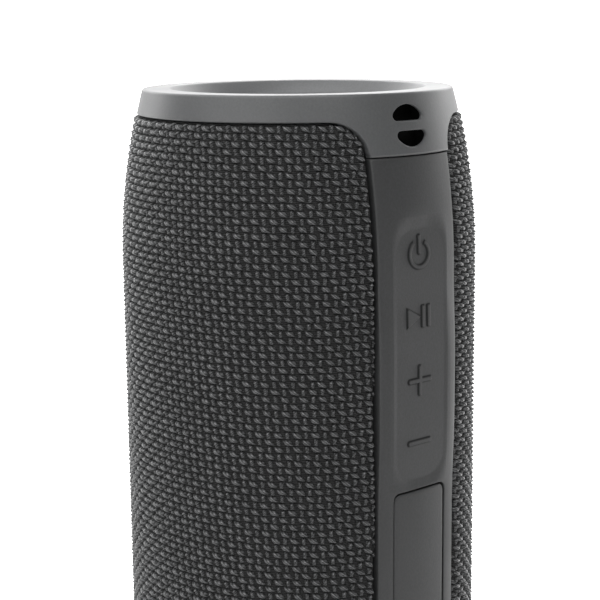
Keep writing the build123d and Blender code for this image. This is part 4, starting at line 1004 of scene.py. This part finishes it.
def build_ground():
    """The cloth's ground, darkened as painted shade, one sheet from one edge of the panel's slot to the
    other.
    """
    z = np.concatenate([[fabric_end - 0.3], np.linspace(fabric_end, length - fabric_end, 180)])
    z = np.concatenate([z, [length - fabric_end + 0.3]])
    depth = np.minimum(z, length - z)
    edge = np.arcsin((slot_edge(depth) - 0.25) / wall(z))
    shares = np.concatenate([[0, 0.0012, 0.003, 0.006, 0.01], np.linspace(0.015, 0.985, 240)])
    shares = np.concatenate([shares, [0.99, 0.994, 0.997, 0.9988, 1]])
    turn = edge[:, None] + (2 * pi - 2 * edge[:, None]) * shares[None, :]
    points = cloth_point(turn, z[:, None], -0.05)
    quads = grid_faces(len(z), len(shares))
    ground = new_object("cloth_ground_painted_shade", points, quads, materials["cloth_ground_painted_shade"])
    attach(ground, "enclosure")
    return ground


def weft_shape():
    """A weft float: a flat-topped lozenge whose ends dive under the warp, as offsets and a height."""
    along = (-1, -0.88, -0.6, -0.2, 0.2, 0.6, 0.88, 1)
    u, v = np.meshgrid(along, (-1, -0.88, -0.5, 0, 0.5, 0.88, 1), indexing="ij")
    across = 0.80 * u - 0.25 * v
    up = 0.50 * v * (1 - 0.1 * np.abs(u) ** 3) - 0.10 * u
    height = 0.84 * (1 - 0.85 * np.abs(u) ** 6) * np.sqrt(1 - np.abs(v) ** 4) - 0.2
    return across, up, height


def warp_shape():
    """A warp float: it rises from under the weft above to a crest, then runs on lower and level."""
    places = (-1, -0.9, -0.66, -0.42, -0.22, -0.02, 0.35, 0.75, 1)
    u, v = np.meshgrid(places, (-1, -0.8, -0.3, 0.3, 0.8, 1), indexing="ij")
    across = 0.40 * v * (1 - 0.1 * np.abs(u) ** 3)
    up = -0.74 * u - 0.04
    crest = np.interp(u, places, (-0.1, 0.42, 0.72, 0.84, 0.52, 0.22, 0.22, 0.15, -0.2))
    height = (crest + 0.2) * np.sqrt(1 - np.abs(v) ** 3) - 0.2
    return across, up, height


def build_weave():
    """Plain weave of thick yarns: in each cell either the weft or the warp lies on top."""
    rows = int((length - 2 * fabric_end) / row_pitch)
    first = (length - (rows - 1) * row_pitch) / 2
    column, row = np.meshgrid(np.arange(columns_round), np.arange(rows))
    column, row = column.ravel(), row.ravel()
    z = first + row * row_pitch
    turn = np.mod((column + 0.25) * 2 * pi / columns_round + skew * (length - z) / barrel, 2 * pi)
    beside, end = cloth_margin(turn, z)
    kept = (beside > -0.4) & (end > 0.3)
    over_weft = (column + row) % 2 == 0
    pieces = []
    sector = (turn / (2 * pi) * weave_sectors).astype(int) % weave_sectors
    for number in range(weave_sectors):
        parts = []
        for is_weft in (True, False):
            chosen = kept & (over_weft == is_weft) & (sector == number)
            parts.append(weave_floats(turn[chosen], z[chosen], is_weft))
        points = np.concatenate([part[0] for part in parts])
        quads = np.concatenate([parts[0][1], parts[1][1] + len(parts[0][0])])
        uv = np.concatenate([part[2] for part in parts])
        weave = new_object(f"weave_{number + 1}", points, quads, materials["yarn"], uv=uv)
        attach(weave, "enclosure")
        pieces.append(weave)
    return pieces


def weave_floats(turn, z, is_weft):
    """Points, quads and fibre coordinates of many floats at once."""
    across, up, height = weft_shape() if is_weft else warp_shape()
    slant = radians(strand_slant if is_weft else -strand_slant)
    count = len(turn)
    size = 1 + rng.normal(0, 0.025, (count, 1, 1))
    lift = rng.normal(0, 0.025, (count, 1, 1))
    tilt = rng.normal(0, radians(2.5), (count, 1, 1))
    shift = rng.normal(0, 0.025, (2, count, 1, 1))
    sideways = size * (across * np.cos(tilt) - up * np.sin(tilt)) + shift[0]
    upwards = size * (across * np.sin(tilt) + up * np.cos(tilt)) + shift[1]
    reach = wall(z)[:, None, None]
    turn, z = turn[:, None, None] + sideways / reach, z[:, None, None] + upwards
    points = cloth_point(turn, z, height[None] + lift)
    quads = grid_faces(*across.shape)[None] + (np.arange(count) * across.size)[:, None, None]
    quads = quads.reshape(-1, 4)
    corner = points[0, 0, 0]
    if np.cross(points[0, 1, 0] - corner, points[0, 0, 1] - corner) @ corner < 0:
        quads = quads[:, ::-1]
    offset = rng.uniform(0, 40, (2, count, 1, 1))
    across_strands = across[None] * sin(slant) + up[None] * cos(slant) + offset[0]
    along_strands = across[None] * cos(slant) - up[None] * sin(slant) + offset[1]
    uv = np.stack([across_strands, along_strands], axis=-1)
    return points.reshape(-1, 3), quads, uv.reshape(-1, 2)


def build_fabric():
    """The woven sleeve: a thin ground sheet with the yarns that show on it."""
    ground = build_ground()
    pieces = build_weave()
    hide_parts("fabric_sleeve")


# ---- Passive radiators ----
surround_sectors = 16
roll_radius = 2.4


def lathe(profile, turns):
    """Points of a section of (radius, z) turned through the given angles, a row per section point."""
    profile = np.array(profile)
    radius, z = profile[:, 0][:, None], profile[:, 1][:, None]
    return np.stack([radius * np.cos(turns), radius * np.sin(turns), z + 0 * turns], axis=-1)


def build_radiator(end):
    """One passive radiator: its turned plate, and the rubber roll in sectors."""
    flip = (1, 1, 1) if end == "top" else (1, 1, -1)
    move = (0, 0, 0) if end == "top" else (0, 0, length)
    face = [(0, 0.35), (4, 0.33), (8, 0.22), (12, 0.05), (14.4, 0.02), (14.9, 0.06), (15.2, 0.30)]
    face += [(15.6, 0.36), (16, 0.30), (16.3, 0.06), (16.7, 0), (17.1, 0.08)]
    face += [(plate_radius - 0.15, 0.35), (plate_radius, 0.7)]
    boss = [(plate_radius, 2.5), (8, 2.4), (8, 0), (0, 0)]
    plate = [(radius, plate_top - drop) for radius, drop in face]
    plate += [(radius, plate_bottom + rise) for radius, rise in boss]
    turns = np.linspace(0, 2 * pi, 181)[:-1]
    quads = grid_faces(len(plate), len(turns), wrap=True)
    points, quads, triangles = welded(lathe(plate, turns).reshape(-1, 3), quads)
    metal_finish = materials["radiator_metal"]
    disc = new_object(f"{end}_radiator_disc", points * flip + move, quads, metal_finish, triangles)
    fix_normals(disc)
    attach(disc, f"{end}_radiator")
    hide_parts(f"{end}_radiator_plate")

    middle = (plate_radius + roll_outer) / 2
    base = roll_top - roll_radius
    section = [(roll_outer, base - 0.05), (roll_outer - 0.2, base)]
    for angle in np.radians(np.linspace(0, 180, 17)):
        section.append((middle + roll_radius * cos(angle), base + roll_radius * sin(angle)))
    section += [(plate_radius + 0.05, base), (plate_radius - 0.1, base + 0.02)]
    for number in range(surround_sectors):
        start = 2 * pi * number / surround_sectors
        turns = np.linspace(start, start + 2 * pi / surround_sectors, 13)
        points = lathe(section, turns).reshape(-1, 3)
        quads = turned_out(points, grid_faces(len(section), len(turns)), (0, 0, base - 30))
        if end == "bottom":
            quads = quads[:, ::-1]
        name = f"{end}_surround_{number + 1:02d}"
        rubber = new_object(name, points * flip + move, quads, materials["radiator_rubber"])
        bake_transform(rubber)
        if number == 0:
            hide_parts(f"{end}_radiator_surround")


# ---- Stage, lights and camera ----
view_azimuth = 48.85
camera_distance = 322.62
camera_above = 17.07
camera_tilt = 10.951
camera_roll = -0.586
camera_pan = 0.018
camera_lens = 92.17
light_distance = 0.9
backdrop_glow = 1.1
floor_half = 6.0
sweep = 0.8


def place_camera():
    """A long lens, a little above the top face, looking down past the panel's left."""
    azimuth = radians(view_azimuth)
    pan, tilt, roll = radians(camera_pan), radians(camera_tilt), radians(camera_roll)
    forward = Vector((sin(pan) * cos(tilt), cos(pan) * cos(tilt), -sin(tilt)))
    right = Vector((cos(pan), -sin(pan), 0))
    above = right.cross(forward)
    axis_x = right * cos(roll) + above * sin(roll)
    axis_y = -right * sin(roll) + above * cos(roll)
    spin = Matrix.Rotation(azimuth, 4, "Z")
    turned = Matrix((axis_x, axis_y, -forward)).transposed().to_4x4()
    camera = bpy.data.objects.new("camera", bpy.data.cameras.new("camera"))
    camera.data.lens = camera_lens
    camera.data.sensor_width = 36.0
    camera.data.clip_end = 20.0
    place = Vector((0, -camera_distance * MM, (length + camera_above) * MM))
    camera.matrix_world = spin @ Matrix.Translation(place) @ turned
    bpy.context.scene.collection.objects.link(camera)
    bpy.context.scene.camera = camera


def area_light(name, azimuth, elevation, width, height, power, aim):
    """A softbox at a bearing from the camera's own, facing a height on the speaker's axis."""
    data = bpy.data.lights.new(name, "AREA")
    data.shape = "RECTANGLE"
    data.size, data.size_y = width, height
    data.energy = power
    lamp = bpy.data.objects.new(name, data)
    bearing, rise = radians(view_azimuth + azimuth), radians(elevation)
    way = Vector((sin(bearing) * cos(rise), -cos(bearing) * cos(rise), sin(rise)))
    lamp.location = Vector((0, 0, aim)) + way * light_distance
    lamp.rotation_euler = (-way).to_track_quat("-Z", "Y").to_euler()
    lamp.visible_camera = False
    bpy.context.scene.collection.objects.link(lamp)


def floor_material(spin):
    """Pale, and brighter away from the camera, so that it fades into a white backdrop."""
    tree, shader = new_material("pale_floor")
    place = object_coordinates(tree, 1.0)
    link(tree, ramp(tree, noise(tree, place, 6.0), grey(0.80), grey(0.84)), shader.inputs["Base Color"])
    shader.inputs["Roughness"].default_value = 0.9
    shader.inputs["Emission Color"].default_value = (1, 1, 1, 1)
    away = tree.nodes.new("ShaderNodeVectorMath")
    away.operation = "DOT_PRODUCT"
    away.inputs[1].default_value = (-sin(spin), cos(spin), 0)
    link(tree, place, away.inputs[0])
    glow = ramp(tree, away.outputs["Value"], 0.0, backdrop_glow, 0.0, 0.2)
    link(tree, glow, shader.inputs["Emission Strength"])


def build_floor():
    """A pale floor that rises into a backdrop, laid out in metres."""
    rows = [(-floor_half, 0.0), (1.2, 0.0)]
    for angle in np.radians(np.linspace(0, 90, 13)):
        rows.append((1.6 + sweep * sin(angle), sweep - sweep * cos(angle)))
    rows.append((1.6 + sweep, 2.6))
    spin = radians(view_azimuth)
    points = []
    for away, up in rows:
        for side in np.linspace(-floor_half, floor_half, 9):
            x = side * cos(spin) - away * sin(spin)
            y = side * sin(spin) + away * cos(spin)
            points.append((x / MM, y / MM, up / MM - 0.05))
    floor_material(spin)
    floor = new_object("floor", points, grid_faces(len(rows), 9), materials["pale_floor"])


def build_lights():
    """Softboxes round the speaker, and a dim even surrounding."""
    world = bpy.data.worlds.new("studio")
    bpy.context.scene.world = world
    world.use_nodes = True
    world.node_tree.nodes["Background"].inputs["Color"].default_value = (1, 1, 1, 1)
    world.node_tree.nodes["Background"].inputs["Strength"].default_value = 0.12
    # name, azimuth from the camera, elevation, width, height, power and the height it aims at
    area_light("front_left_softbox", -42, 18, 1.0, 0.9, 3.6, 0.12)
    area_light("front_right_softbox", 30, 24, 0.7, 0.7, 0.4, 0.12)
    area_light("left_rim_softbox", -118, 8, 0.5, 1.2, 2.3, 0.12)
    area_light("right_rim_softbox", 118, 8, 0.7, 1.2, 2.4, 0.12)
    area_light("top_softbox", -28, 66, 1.8, 0.6, 12, 0.12)
    area_light("back_softbox", 180, 30, 1.8, 0.7, 8.5, 0.25)
    bpy.context.scene.view_settings.view_transform = "Standard"


place_camera()
dress_cad_nodes()
build_ring("top_ring_skin", "top_ring", with_holes=True)
build_ring("bottom_ring_skin", "bottom_ring", with_holes=False)
build_panel()
build_port_cover()
build_strap_pocket()
build_fabric()
build_radiator("top")
build_radiator("bottom")
build_floor()
build_lights()
